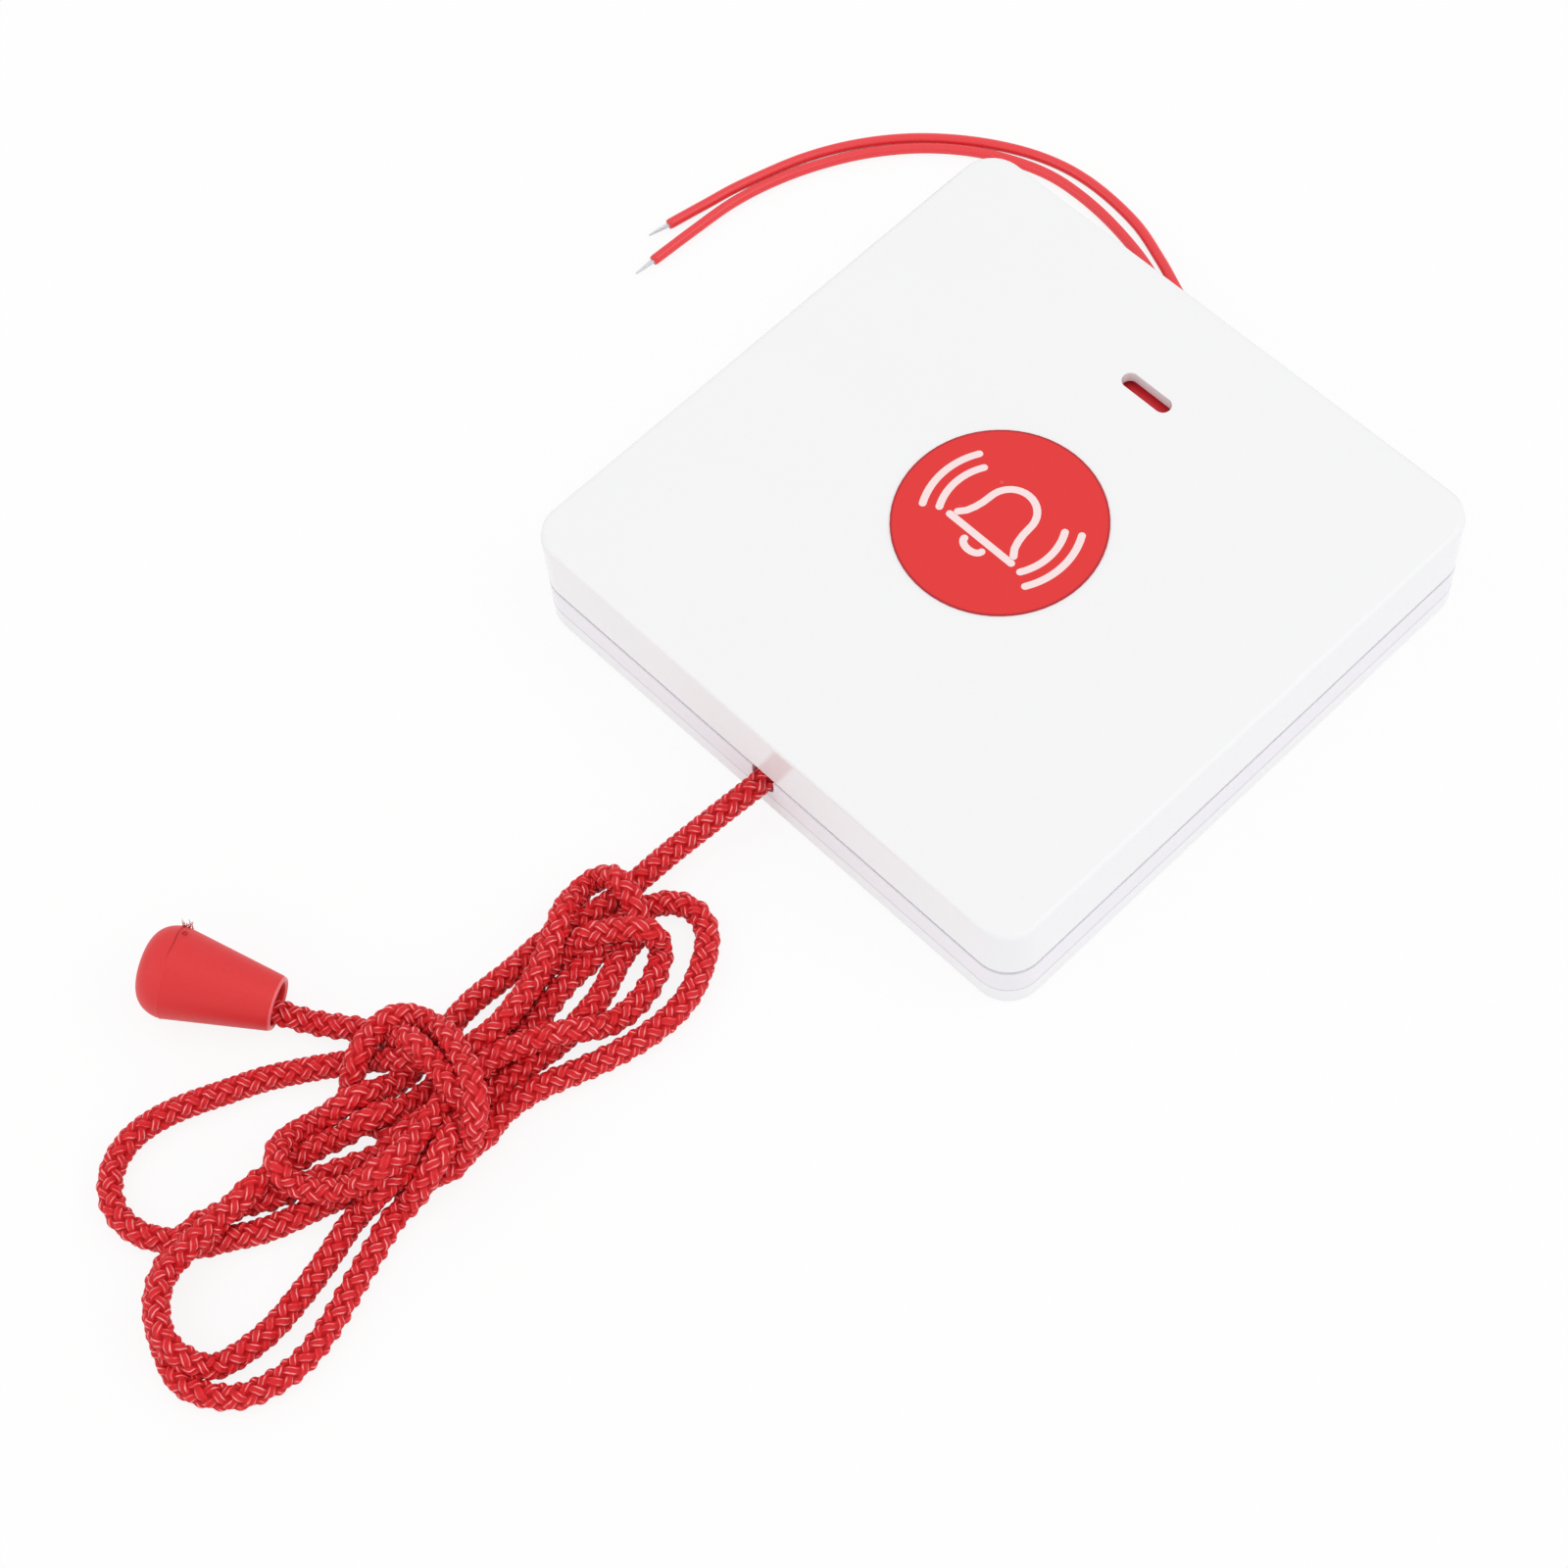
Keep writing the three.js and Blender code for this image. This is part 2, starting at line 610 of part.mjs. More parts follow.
function cordKnot() {
  const knotZ = cordZ + knotLift;
  const knot = new THREE.SphereGeometry(cordKnotRadius, 12, 8).rotateX(Math.PI / 2);
  const stubEnd = [0, knotY - stubLength, cordZ + stubLift];
  const stubMiddle = [0, knotY - stubLength / 2, cordZ + (2 * knotLift + stubLift) / 3];
  const stub = tube([[0, knotY, knotZ], stubMiddle, stubEnd], cordRadius, 5, 3);
  return carve([knot.translate(0, knotY, knotZ), stub]);
}

// Free length of the pull cord, from behind its notch to the bundle
const cordStartY = knotY - stubLength - slideTravel - cordGap;
const pullCordRoute = [
  [0, cordStartY, cordZ],
  [0, -halfSide + frameWall, cordZ],
  [0, -halfSide, cordZ],
  [-0.5, -47.5, 4.7],
  [-1.1, -51.6, 2.7],
  [-1.7, -55.6, 1.8],
  [-1.9, -61.2, 1.75],
];
const tailRoute = [
  [-23.8, -107.2, 3.4],
  [-21.3, -106.1, 2.95],
  [-19.6, -105.4, 2.4],
  [-16.9, -104.5, 1.85],
];

// Outline round three circles: an arc of each, joined by straight tangents
function hank() {
  const shape = new THREE.Shape();
  hankEnds.forEach(([x, y, radius], n) => {
    const before = hankEnds[(n + 2) % 3];
    const after = hankEnds[(n + 1) % 3];
    const arrive = tangentAngle(before, [x, y, radius]);
    const leave = tangentAngle([x, y, radius], after);
    shape.absarc(x, y, radius, arrive, leave < arrive ? leave + 2 * Math.PI : leave);
  });
  shape.closePath();
  return slab(shape, [0, hankHeight], 10);
}

// Direction from a circle's middle to its touching point on the outer tangent to the next circle
function tangentAngle(from, to) {
  const heading = Math.atan2(to[1] - from[1], to[0] - from[0]);
  const distance = Math.hypot(to[0] - from[0], to[1] - from[1]);
  return heading - Math.acos((from[2] - to[2]) / distance);
}

// Hollow pull knob, turned about its axis and laid on its side
function pullKnob() {
  const taper = (knobBigRadius - knobMouthRadius) / knobCone;
  const wallIn = (s) => knobMouthRadius + taper * s - knobWall;
  const domeLength = knobLength - knobCone;
  const dome = (n, radius, depth) => Array.from({ length: n }, (_, i) => {
    const angle = (i + 1) / (n + 1) * Math.PI / 2;
    return [radius * Math.cos(angle) ** 0.62, knobCone + depth * Math.sin(angle)];
  });
  const innerDome = dome(4, knobBigRadius - knobWall, domeLength - knobWall).reverse();
  const profile = [
    [knobEndBore, knobLength - knobWall],
    ...innerDome,
    [wallIn(knobCone), knobCone],
    [knobMouthBore, 1],
    [knobMouthBore, 0],
    [knobMouthRadius - 0.3, 0],
    [knobMouthRadius, 0.3],
    [knobBigRadius, knobCone],
    ...dome(6, knobBigRadius, domeLength),
    [knobEndBore, knobLength],
    [knobEndBore, knobLength - knobWall],
  ].map(([r, s]) => new THREE.Vector2(r, s));
  const tilt = Math.atan(taper);
  const turned = new THREE.LatheGeometry(profile, 24);
  turned.rotateZ(-Math.PI / 2 + tilt);
  turned.rotateX(Math.PI / 2);
  return turned.rotateZ(knobHeading).translate(knobMouth.x, knobMouth.y, knobMouthRadius * Math.cos(tilt));
}

// Supply leads: up to the board inside, along the base's channel, then free on the surface
const leadTop = boardBottom - leadEndGap;
const leadRoutes = [
  [
    [-13.2, -4.9, leadTop], [-13.2, -4.9, 4.2], [-12.4, -4.7, 1.6], [-9.6, -3.6, leadZ], [-5, 0.4, leadZ],
    [-1.9, 6, leadZ], [-1.1, 12, leadZ], [-1.1, 25, leadZ], [-1.1, 38, leadZ], [-1.8, 43.4, leadZ],
    [-4.6, 47.4, leadZ], [-10.1, 50.9, leadZ], [-16.2, 53.4, leadZ], [-21.1, 55.2, leadZ],
    [-28.5, 57, leadZ], [-37.3, 57.2, leadZ], [-45.4, 55.9, leadZ], [-52.9, 52.7, leadZ],
    [-60.7, 47, leadZ], [-66, 41.2, leadZ], [-70.2, 34.2, leadZ], [-72.7, 27.2, leadZ],
    [-74.4, 19.4, leadZ], [-75.9, 11.7, leadZ],
  ],
  [
    [-13.2, -2.3, leadTop], [-13.2, -2.3, 4.2], [-12.4, -2.1, 1.6], [-9.9, -0.9, leadZ], [-6.4, 2.6, leadZ],
    [-3.9, 7, leadZ], [-3, 12, leadZ], [-3, 25, leadZ], [-3, 38, leadZ], [-3.7, 43, leadZ],
    [-6.6, 46.6, leadZ], [-12, 49.8, leadZ], [-18.6, 52, leadZ], [-26, 53.6, leadZ],
    [-34.3, 54.3, leadZ], [-41.6, 53.6, leadZ], [-48.2, 51.8, leadZ], [-54.4, 48.8, leadZ],
    [-59.6, 44.8, leadZ], [-64, 39.2, leadZ], [-67.4, 32.4, leadZ], [-69.8, 26, leadZ],
    [-71.2, 19.3, leadZ], [-72.1, 12.4, leadZ], [-72.7, 5.8, leadZ],
  ],
];

function wireTip(route) {
  const end = new THREE.Vector3(...route[route.length - 1]);
  const heading = end.clone().sub(new THREE.Vector3(...route[route.length - 2])).normalize();
  const middle = end.clone().addScaledVector(heading, tipGap + tipLength / 2);
  const wire = new THREE.CylinderGeometry(tipRadius, tipRadius, tipLength, 10);
  wire.rotateZ(Math.atan2(heading.y, heading.x) - Math.PI / 2);
  return wire.translate(middle.x, middle.y, middle.z);
}

// Assembly
const assembly = new THREE.Group();

function place(name, geometry, material, position = [0, 0, 0]) {
  const mesh = new THREE.Mesh(geometry, material);
  mesh.name = name;
  mesh.position.set(...position);
  assembly.add(mesh);
  return mesh;
}

place('base_plate', basePlate(), colours.shell);
place('middle_frame', middleFrame(), colours.frame);
place('front_panel', frontPanel(), colours.shell);
place('face_disc', faceDisc(), colours.disc);

const panelSpringLength = tubeEnd - deckTop - 2 * springSeat;
const panelSpring = spring(panelSpringRadius, panelSpringWire, panelSpringCoils, panelSpringLength, 3);
corners.forEach(([sx, sy], n) => {
  const seat = [sx * guideOffset, sy * guideOffset, deckTop + springSeat];
  place(`panel_spring_${n + 1}`, panelSpring, colours.steel, seat);
});

const frameScrew = screw(frameScrewShank);
frameScrews.forEach(([x, y], n) => place(`frame_screw_${n + 1}`, frameScrew, colours.steel, [x, y, deckTop]));

place('circuit_board', circuitBoard(), colours.board);
const boardScrew = screw(screwLength);
boardScrews.forEach(([x, y], n) => {
  place(`board_screw_${n + 1}`, boardScrew, colours.steel, [x, y, boardTop]);
});

place('press_switch', pressSwitch(), colours.black);
place('press_plunger', pressPlunger(), colours.redPlastic);
place('pull_switch', pullSwitch(), colours.black);
place('pull_plunger', pullPlunger(), colours.shell);

place('pull_slide', pullSlide(), colours.redPlastic);
place('cord_knot', cordKnot(), colours.cord);
place('slide_keeper', slideKeeper(), colours.frame);
signs.forEach((s, n) => {
  const seat = [s * keeperScrewX, keeperY, keeperBottom + keeperThickness];
  place(`keeper_screw_${n + 1}`, boardScrew, colours.steel, seat);
});
const springStart = springStopTop + springSeat;
const slideSpringLength = fingerY - springSeat - springStart;
const slideSpring = spring(slideSpringRadius, slideSpringWire, slideSpringCoils, slideSpringLength, 3);
place('slide_spring', slideSpring, colours.steel, [springX, springStart, springZ]).rotation.x = -Math.PI / 2;

place('pull_cord', tube(pullCordRoute, cordRadius, 5, 12), colours.cord);
place('pull_cord_hank', hank(), colours.cord);
place('pull_cord_tail', tube(tailRoute, cordRadius, 5, 4), colours.cord);
place('pull_knob', pullKnob(), colours.redPlastic);

leadRoutes.forEach((route, n) => {
  place(`lead_wire_${n + 1}`, tube(route, leadRadius, 4, 40), colours.lead);
  place(`wire_tip_${n + 1}`, wireTip(route), colours.tinned);
});

export default assembly;
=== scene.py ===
import math

import bpy
import numpy as np
from mathutils import Matrix, Vector


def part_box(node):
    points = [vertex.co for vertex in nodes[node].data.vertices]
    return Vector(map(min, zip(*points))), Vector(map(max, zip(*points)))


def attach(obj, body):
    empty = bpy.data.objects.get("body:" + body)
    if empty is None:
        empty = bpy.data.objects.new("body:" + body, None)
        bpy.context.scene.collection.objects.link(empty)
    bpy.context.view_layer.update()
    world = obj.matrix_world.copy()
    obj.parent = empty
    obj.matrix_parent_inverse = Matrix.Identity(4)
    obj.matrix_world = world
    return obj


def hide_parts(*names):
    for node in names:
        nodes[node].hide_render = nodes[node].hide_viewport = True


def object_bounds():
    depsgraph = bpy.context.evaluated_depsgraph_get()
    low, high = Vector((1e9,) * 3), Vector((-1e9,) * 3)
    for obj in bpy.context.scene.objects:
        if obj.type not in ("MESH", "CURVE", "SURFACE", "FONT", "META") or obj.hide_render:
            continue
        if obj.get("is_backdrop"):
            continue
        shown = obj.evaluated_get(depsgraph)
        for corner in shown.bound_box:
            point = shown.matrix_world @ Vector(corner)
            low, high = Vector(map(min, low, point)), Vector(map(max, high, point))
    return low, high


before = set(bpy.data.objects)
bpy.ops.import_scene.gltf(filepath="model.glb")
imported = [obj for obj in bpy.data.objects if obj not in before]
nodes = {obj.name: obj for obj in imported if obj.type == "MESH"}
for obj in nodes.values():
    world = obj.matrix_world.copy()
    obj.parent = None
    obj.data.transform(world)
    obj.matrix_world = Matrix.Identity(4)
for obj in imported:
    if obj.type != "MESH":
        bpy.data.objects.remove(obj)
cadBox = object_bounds()
mm = 0.001
print("frame loaded:", len(nodes), "nodes")

# Camera in millimetres, and the point that lies behind a pixel of its picture
cameraView = {
    "place": (161.090, -169.523, 382.674),
    "right": (0.69894, 0.71326, -0.05236),
    "up": (-0.61146, 0.63395, 0.47352),
    "lens": 77.893,
    "sensor": 36.0,
    "pictureSide": 1600,
}
cameraRight = Vector(cameraView["right"]).normalized()
cameraUp = Vector(cameraView["up"]).normalized()
cameraBack = cameraRight.cross(cameraUp).normalized()


def makeCamera(view):
    data = bpy.data.cameras.new("photoCamera")
    data.sensor_width = view["sensor"]
    data.lens = view["lens"]
    data.clip_start = 0.01
    data.clip_end = 20.0
    camera = bpy.data.objects.new("photoCamera", data)
    bpy.context.scene.collection.objects.link(camera)
    turn = Matrix((cameraRight, cameraUp, cameraBack)).transposed()
    camera.matrix_world = Matrix.Translation(Vector(view["place"]) * mm) @ turn.to_4x4()
    bpy.context.scene.camera = camera


def pointBehind(px, py, height):
    view = cameraView
    focal = view["lens"] / view["sensor"] * view["pictureSide"]
    middle = view["pictureSide"] / 2
    ray = cameraRight * (px - middle) - cameraUp * (py - middle) - cameraBack * focal
    place = Vector(view["place"])
    return np.array(place + ray * ((height - place.z) / ray.z))


makeCamera(cameraView)
print("camera ready")


# Node helpers
def tint(red, green, blue):
    def linear(level):
        level = level / 255
        return level / 12.92 if level <= 0.04045 else ((level + 0.055) / 1.055) ** 2.4
    return (linear(red), linear(green), linear(blue), 1.0)


def addNode(tree, kind, inputs=(), **settings):
    node = tree.nodes.new(kind)
    for name, value in settings.items():
        setattr(node, name, value)
    for key, value in dict(inputs).items():
        if isinstance(value, bpy.types.NodeSocket):
            tree.links.new(value, node.inputs[key])
        else:
            node.inputs[key].default_value = value
    return node


def calc(tree, operation, *values):
    return addNode(tree, "ShaderNodeMath", enumerate(values), operation=operation).outputs[0]


def between(tree, value, low, high):
    sockets = {"Value": value, "From Min": low, "From Max": high}
    return addNode(tree, "ShaderNodeMapRange", sockets, clamp=True).outputs[0]


def mixColour(tree, factor, first, second, blend="MIX"):
    node = addNode(tree, "ShaderNodeMix", {0: factor, 6: first, 7: second},
                   data_type="RGBA", blend_type=blend)
    return node.outputs[2]


def noise(tree, vector, scale, detail=3.0, roughness=0.5):
    sockets = {"Vector": vector, "Scale": scale, "Detail": detail, "Roughness": roughness}
    return addNode(tree, "ShaderNodeTexNoise", sockets).outputs[0]


def startGroup(name, inputs, outputs):
    group = bpy.data.node_groups.new(name, "ShaderNodeTree")
    for label, kind, value in inputs:
        socket = group.interface.new_socket(name=label, in_out="INPUT", socket_type=kind)
        socket.default_value = value
    for label, kind in outputs:
        group.interface.new_socket(name=label, in_out="OUTPUT", socket_type=kind)
    return group, group.nodes.new("NodeGroupInput"), group.nodes.new("NodeGroupOutput")


def startMaterial(name, **constants):
    material = bpy.data.materials.new(name)
    material.use_nodes = True
    tree = material.node_tree
    shader = tree.nodes["Principled BSDF"]
    for label, value in constants.items():
        shader.inputs[label.replace("_", " ")].default_value = value
    return material, tree, shader


# Moulded grain: fine texture, slow unevenness of tone and gloss, and specks of dust
grainLook = {
    "unevenScale": 55.0,
    "speckScale": 420.0,
    "patchScale": 300.0,
    "patchFrom": 0.62,
    "patchTo": 0.66,
    "speckEdge": 0.12,
    "speckCore": 0.06,
    "dustRoughness": 0.3,
    "glossChange": 1.5,
}


def makeMouldedGrain(look):
    group, given, out = startGroup(
        "mouldedGrain",
        [("Color", "NodeSocketColor", (0.8, 0.8, 0.8, 1)), ("Roughness", "NodeSocketFloat", 0.4),
         ("Grain Scale", "NodeSocketFloat", 3000.0), ("Grain Height", "NodeSocketFloat", 0.00001),
         ("Mottle", "NodeSocketFloat", 0.04), ("Dust", "NodeSocketFloat", 0.0),
         ("Dust Color", "NodeSocketColor", (0.9, 0.9, 0.9, 1))],
        [("Color", "NodeSocketColor"), ("Roughness", "NodeSocketFloat"),
         ("Normal", "NodeSocketVector")])
    coords = addNode(group, "ShaderNodeTexCoord").outputs["Object"]
    fine = noise(group, coords, given.outputs["Grain Scale"], 2.0)
    slow = noise(group, coords, look["unevenScale"], 4.0)
    shade = calc(group, "MULTIPLY", calc(group, "SUBTRACT", slow, 0.5), given.outputs["Mottle"])
    fineShade = calc(group, "MULTIPLY", calc(group, "SUBTRACT", fine, 0.5), given.outputs["Mottle"])
    level = calc(group, "ADD", 1.0, calc(group, "ADD", shade, fineShade))
    toned = mixColour(group, 1.0, given.outputs["Color"], level, "MULTIPLY")
    cells = addNode(group, "ShaderNodeTexVoronoi", {"Vector": coords, "Scale": look["speckScale"]})
    patches = noise(group, coords, look["patchScale"], 1.0)
    pick = between(group, patches, look["patchFrom"], look["patchTo"])
    spots = between(group, cells.outputs["Distance"], look["speckEdge"], look["speckCore"])
    speck = calc(group, "MULTIPLY", spots, pick)
    dust = calc(group, "MULTIPLY", speck, given.outputs["Dust"])
    group.links.new(mixColour(group, dust, toned, given.outputs["Dust Color"]), out.inputs["Color"])
    change = calc(group, "MULTIPLY", shade, look["glossChange"])
    gloss = calc(group, "ADD", given.outputs["Roughness"], change)
    rougher = calc(group, "MULTIPLY", dust, look["dustRoughness"])
    group.links.new(calc(group, "ADD", gloss, rougher), out.inputs["Roughness"])
    bump = addNode(group, "ShaderNodeBump", {"Height": fine, "Distance": given.outputs["Grain Height"]})
    group.links.new(bump.outputs[0], out.inputs["Normal"])
    return group


mouldedGrain = makeMouldedGrain(grainLook)


def grained(tree, shader, colour, roughness, **values):
    sockets = {"Color": colour, "Roughness": roughness}
    sockets.update({label.replace("_", " "): value for label, value in values.items()})
    group = tree.nodes.new("ShaderNodeGroup")
    group.node_tree = mouldedGrain
    for label, value in sockets.items():
        if isinstance(value, bpy.types.NodeSocket):
            tree.links.new(value, group.inputs[label])
        else:
            group.inputs[label].default_value = value
    tree.links.new(group.outputs["Color"], shader.inputs["Base Color"])
    tree.links.new(group.outputs["Roughness"], shader.inputs["Roughness"])
    tree.links.new(group.outputs["Normal"], shader.inputs["Normal"])
    return group


# White ABS: satin on faces that look outwards, glossier on the sides. The sides also carry a painted
# tone of light and shade, set apart from the face colour
whiteShell = {
    "face": tint(246, 246, 247),
    # painted light: the shell's sides a touch lighter and bluer than its face
    "side": tint(247, 247, 249),
    "faceRoughness": 0.42,
    "sideRoughness": 0.16,
    "grainScale": 2600.0,
    "grainHeight": 0.000006,
}
whiteFrame = {
    "face": tint(246, 244, 249),
    # painted shade: the frame's sides a touch darker and more lavender than its face
    "side": tint(244, 241, 247),
    "faceRoughness": 0.36,
    "sideRoughness": 0.22,
    "grainScale": 2200.0,
    "grainHeight": 0.000006,
}


def makeWhiteAbs(name, look):
    material, tree, shader = startMaterial(name, Specular_IOR_Level=0.5, IOR=1.5)
    normal = addNode(tree, "ShaderNodeTexCoord").outputs["Normal"]
    outward = addNode(tree, "ShaderNodeSeparateXYZ", {0: normal}).outputs["Z"]
    flat = between(tree, outward, 0.75, 0.97)
    # painted light and shade: the colour follows which way a face looks
    colour = mixColour(tree, flat, look["side"], look["face"])
    change = look["faceRoughness"] - look["sideRoughness"]
    roughness = calc(tree, "MULTIPLY_ADD", flat, change, look["sideRoughness"])
    grained(tree, shader, colour, roughness, Grain_Scale=look["grainScale"],
            Grain_Height=look["grainHeight"], Mottle=0.012, Dust=0.05, Dust_Color=tint(190, 188, 196))
    return material


# Printed red disc, darker red in a thin ring at its rim
discPrint = {
    "red": tint(229, 46, 46),
    "edgeRed": tint(172, 26, 40),
    "radius": 13.9,
    "edgeWidth": 0.28,
    "roughness": 0.46,
}


def makeDiscRed(look):
    material, tree, shader = startMaterial("discRed", Specular_IOR_Level=0.4)
    coords = addNode(tree, "ShaderNodeTexCoord").outputs["Object"]
    plan = addNode(tree, "ShaderNodeVectorMath", {0: coords, 1: (1, 1, 0)}, operation="MULTIPLY")
    radius = addNode(tree, "ShaderNodeVectorMath", {0: plan.outputs[0]}, operation="LENGTH")
    low = (look["radius"] - look["edgeWidth"]) * mm
    edge = between(tree, radius.outputs["Value"], low, look["radius"] * mm)
    colour = mixColour(tree, edge, look["red"], look["edgeRed"])
    grained(tree, shader, colour, look["roughness"], Grain_Scale=5200.0, Grain_Height=0.000004,
            Mottle=0.03, Dust=0.25, Dust_Color=tint(240, 150, 150))
    return material


def makePlain(name, colour, roughness, specular=0.5, metallic=0.0, **grain):
    material, tree, shader = startMaterial(name, Specular_IOR_Level=specular, Metallic=metallic)
    grained(tree, shader, colour, roughness, **grain)
    return material


# Braided cord: which yarn lies on top and its filaments, with painted shade in the gaps between yarns
# and plies and painted highlights on the ply crests
braid = {
    "pitch": 8.8,
    "yarnsEachWay": 4,
    "coreRadius": 0.94,
    "swing": 0.30,
    "yarnHeight": 0.48,
    "yarnHalfWidth": 0.42,
    "gapFloor": 0.16,
    "around": 36,
    "ringStep": 0.30,
}


def makeBraidWeave():
    group, given, out = startGroup(
        "braidWeave",
        [("Yarn Color", "NodeSocketColor", (0.6, 0.03, 0.04, 1)),
         ("Gap Shade Color", "NodeSocketColor", (0.2, 0.005, 0.01, 1)),
         ("Crest Highlight Color", "NodeSocketColor", (0.8, 0.1, 0.12, 1)),
         ("Plies", "NodeSocketFloat", 2.0), ("Ply Height", "NodeSocketFloat", 0.0001)],
        [("Color", "NodeSocketColor"), ("Roughness", "NodeSocketFloat"),
         ("Normal", "NodeSocketVector")])
    coords = addNode(group, "ShaderNodeTexCoord").outputs["Object"]
    uv = addNode(group, "ShaderNodeUVMap", uv_map="braid").outputs[0]
    split = addNode(group, "ShaderNodeSeparateXYZ", {0: uv})
    yarns = float(braid["yarnsEachWay"])
    across, along = (calc(group, "MULTIPLY", split.outputs[axis], yarns) for axis in "XY")
    ways = [calc(group, "SUBTRACT", across, along), calc(group, "ADD", across, along)]
    rises, shares = [], []
    for way, other, sign in ((ways[0], ways[1], 1.0), (ways[1], ways[0], -1.0)):
        index = calc(group, "ROUND", way)
        share = calc(group, "DIVIDE", calc(group, "SUBTRACT", way, index), braid["yarnHalfWidth"])
        parity = calc(group, "COSINE", calc(group, "MULTIPLY", index, math.pi))
        wave = calc(group, "COSINE", calc(group, "MULTIPLY", other, math.pi))
        lift = calc(group, "MULTIPLY", calc(group, "MULTIPLY", parity, wave), sign * braid["swing"])
        inside = calc(group, "SUBTRACT", 1.0, calc(group, "POWER", share, 2.0))
        rounding = calc(group, "SQRT", calc(group, "MAXIMUM", inside, 0.0))
        dome = calc(group, "MULTIPLY", rounding, braid["yarnHeight"])
        rises.append(calc(group, "ADD", lift, dome))
        shares.append(share)
    top = calc(group, "MAXIMUM", rises[0], rises[1])
    firstOnTop = calc(group, "GREATER_THAN", rises[0], rises[1])
    share = addNode(group, "ShaderNodeMix", {0: firstOnTop, 2: shares[1], 3: shares[0]}).outputs[0]
    ragged = calc(group, "MULTIPLY_ADD", noise(group, coords, 900.0, 1.0), 0.5, -0.25)
    thread = calc(group, "MULTIPLY", calc(group, "ADD", share, ragged), given.outputs["Plies"])
    turned = calc(group, "ADD", thread, calc(group, "SUBTRACT", given.outputs["Plies"], 1.0))
    ply = calc(group, "COSINE", calc(group, "MULTIPLY", turned, math.pi))
    fibre = calc(group, "SINE", calc(group, "MULTIPLY", thread, 5 * math.pi))
    # painted shade: darker where a yarn sinks towards the gaps and between its plies
    depth = between(group, top, 0.10, 0.50)
    groove = between(group, ply, -1.0, 0.1)
    # painted highlight: a bright colour on the ply crests of the top yarns; the same mask also lowers
    # roughness
    crestHighlight = calc(group, "MULTIPLY", between(group, top, 0.36, 0.62), between(group, ply, 0.66, 0.98))
    crestHighlight = calc(group, "MULTIPLY", crestHighlight, between(group, noise(group, coords, 620.0, 2.0), 0.38, 0.58))
    shadow = calc(group, "MULTIPLY", depth, calc(group, "MULTIPLY_ADD", groove, 0.45, 0.55))
    body = mixColour(group, shadow, given.outputs["Gap Shade Color"], given.outputs["Yarn Color"])
    group.links.new(mixColour(group, crestHighlight, body, given.outputs["Crest Highlight Color"]), out.inputs["Color"])
    group.links.new(calc(group, "MULTIPLY_ADD", crestHighlight, -0.14, 0.44), out.inputs["Roughness"])
    height = calc(group, "MULTIPLY_ADD", fibre, 0.08, calc(group, "MULTIPLY_ADD", top, 1.5, ply))
    bump = addNode(group, "ShaderNodeBump", {"Height": height, "Distance": given.outputs["Ply Height"]})
    group.links.new(bump.outputs[0], out.inputs["Normal"])
    return group


cordLook = {
    "yarn": tint(240, 38, 46),
    # painted shade colour for the gaps between yarns and plies
    "gap": tint(192, 8, 16),
    # painted highlight colour for the ply crests
    "crestHighlight": tint(255, 168, 168),
    "plies": 2.0,
    "plyHeight": 0.0001,
}


def makeCordRed(look):
    material, tree, shader = startMaterial("cordRed", Specular_IOR_Level=0.3)
    group = tree.nodes.new("ShaderNodeGroup")
    group.node_tree = makeBraidWeave()
    for label, key in (("Yarn Color", "yarn"), ("Gap Shade Color", "gap"), ("Crest Highlight Color", "crestHighlight"),
                       ("Plies", "plies"), ("Ply Height", "plyHeight")):
        group.inputs[label].default_value = look[key]
    tree.links.new(group.outputs["Color"], shader.inputs["Base Color"])
    tree.links.new(group.outputs["Roughness"], shader.inputs["Roughness"])
    tree.links.new(group.outputs["Normal"], shader.inputs["Normal"])
    return material


whiteShellAbs = makeWhiteAbs("whiteShellAbs", whiteShell)
whiteFrameAbs = makeWhiteAbs("whiteFrameAbs", whiteFrame)
discRed = makeDiscRed(discPrint)
symbolWhite = makePlain("symbolWhite", tint(250, 226, 226), 0.45, Grain_Scale=5200.0,
                        Grain_Height=0.000003, Mottle=0.03)
flagRed = makePlain("flagRed", tint(236, 54, 62), 0.34, Grain_Scale=2400.0,
                    Grain_Height=0.000006, Mottle=0.06)
knobRed = makePlain("knobRed", tint(224, 48, 50), 0.48, specular=0.4, Grain_Scale=1900.0,
                    Grain_Height=0.000008, Mottle=0.10, Dust=0.7, Dust_Color=tint(238, 132, 134))
# painted highlight: paler red for the lip round the knob's mouth
rimHighlightRed = makePlain("rimHighlightRed", tint(242, 110, 114), 0.36, Grain_Scale=1900.0, Mottle=0.1)
flashRed = makePlain("flashRed", tint(186, 24, 36), 0.5, Grain_Scale=1900.0, Mottle=0.2)
leadRed = makePlain("leadRed", tint(238, 60, 66), 0.27, Grain_Scale=2600.0,
                    Grain_Height=0.000006, Mottle=0.06)
knotRed = makePlain("knotRed", tint(200, 44, 54), 0.6, Grain_Scale=1800.0,
                    Grain_Height=0.00012, Mottle=0.5)
tinnedCopper = makePlain("tinnedCopper", tint(214, 216, 220), 0.28, metallic=1.0,
                         Grain_Scale=5000.0, Grain_Height=0.000006, Mottle=0.12)
zincSteel = makePlain("zincSteel", tint(196, 199, 204), 0.32, metallic=1.0,
                      Grain_Scale=1800.0, Grain_Height=0.000008, Mottle=0.18)
blackPlastic = makePlain("blackPlastic", tint(34, 34, 36), 0.45, Grain_Scale=2200.0,
                         Grain_Height=0.00001, Mottle=0.3, Dust=0.3, Dust_Color=tint(120, 120, 124))
cordRed = makeCordRed(cordLook)


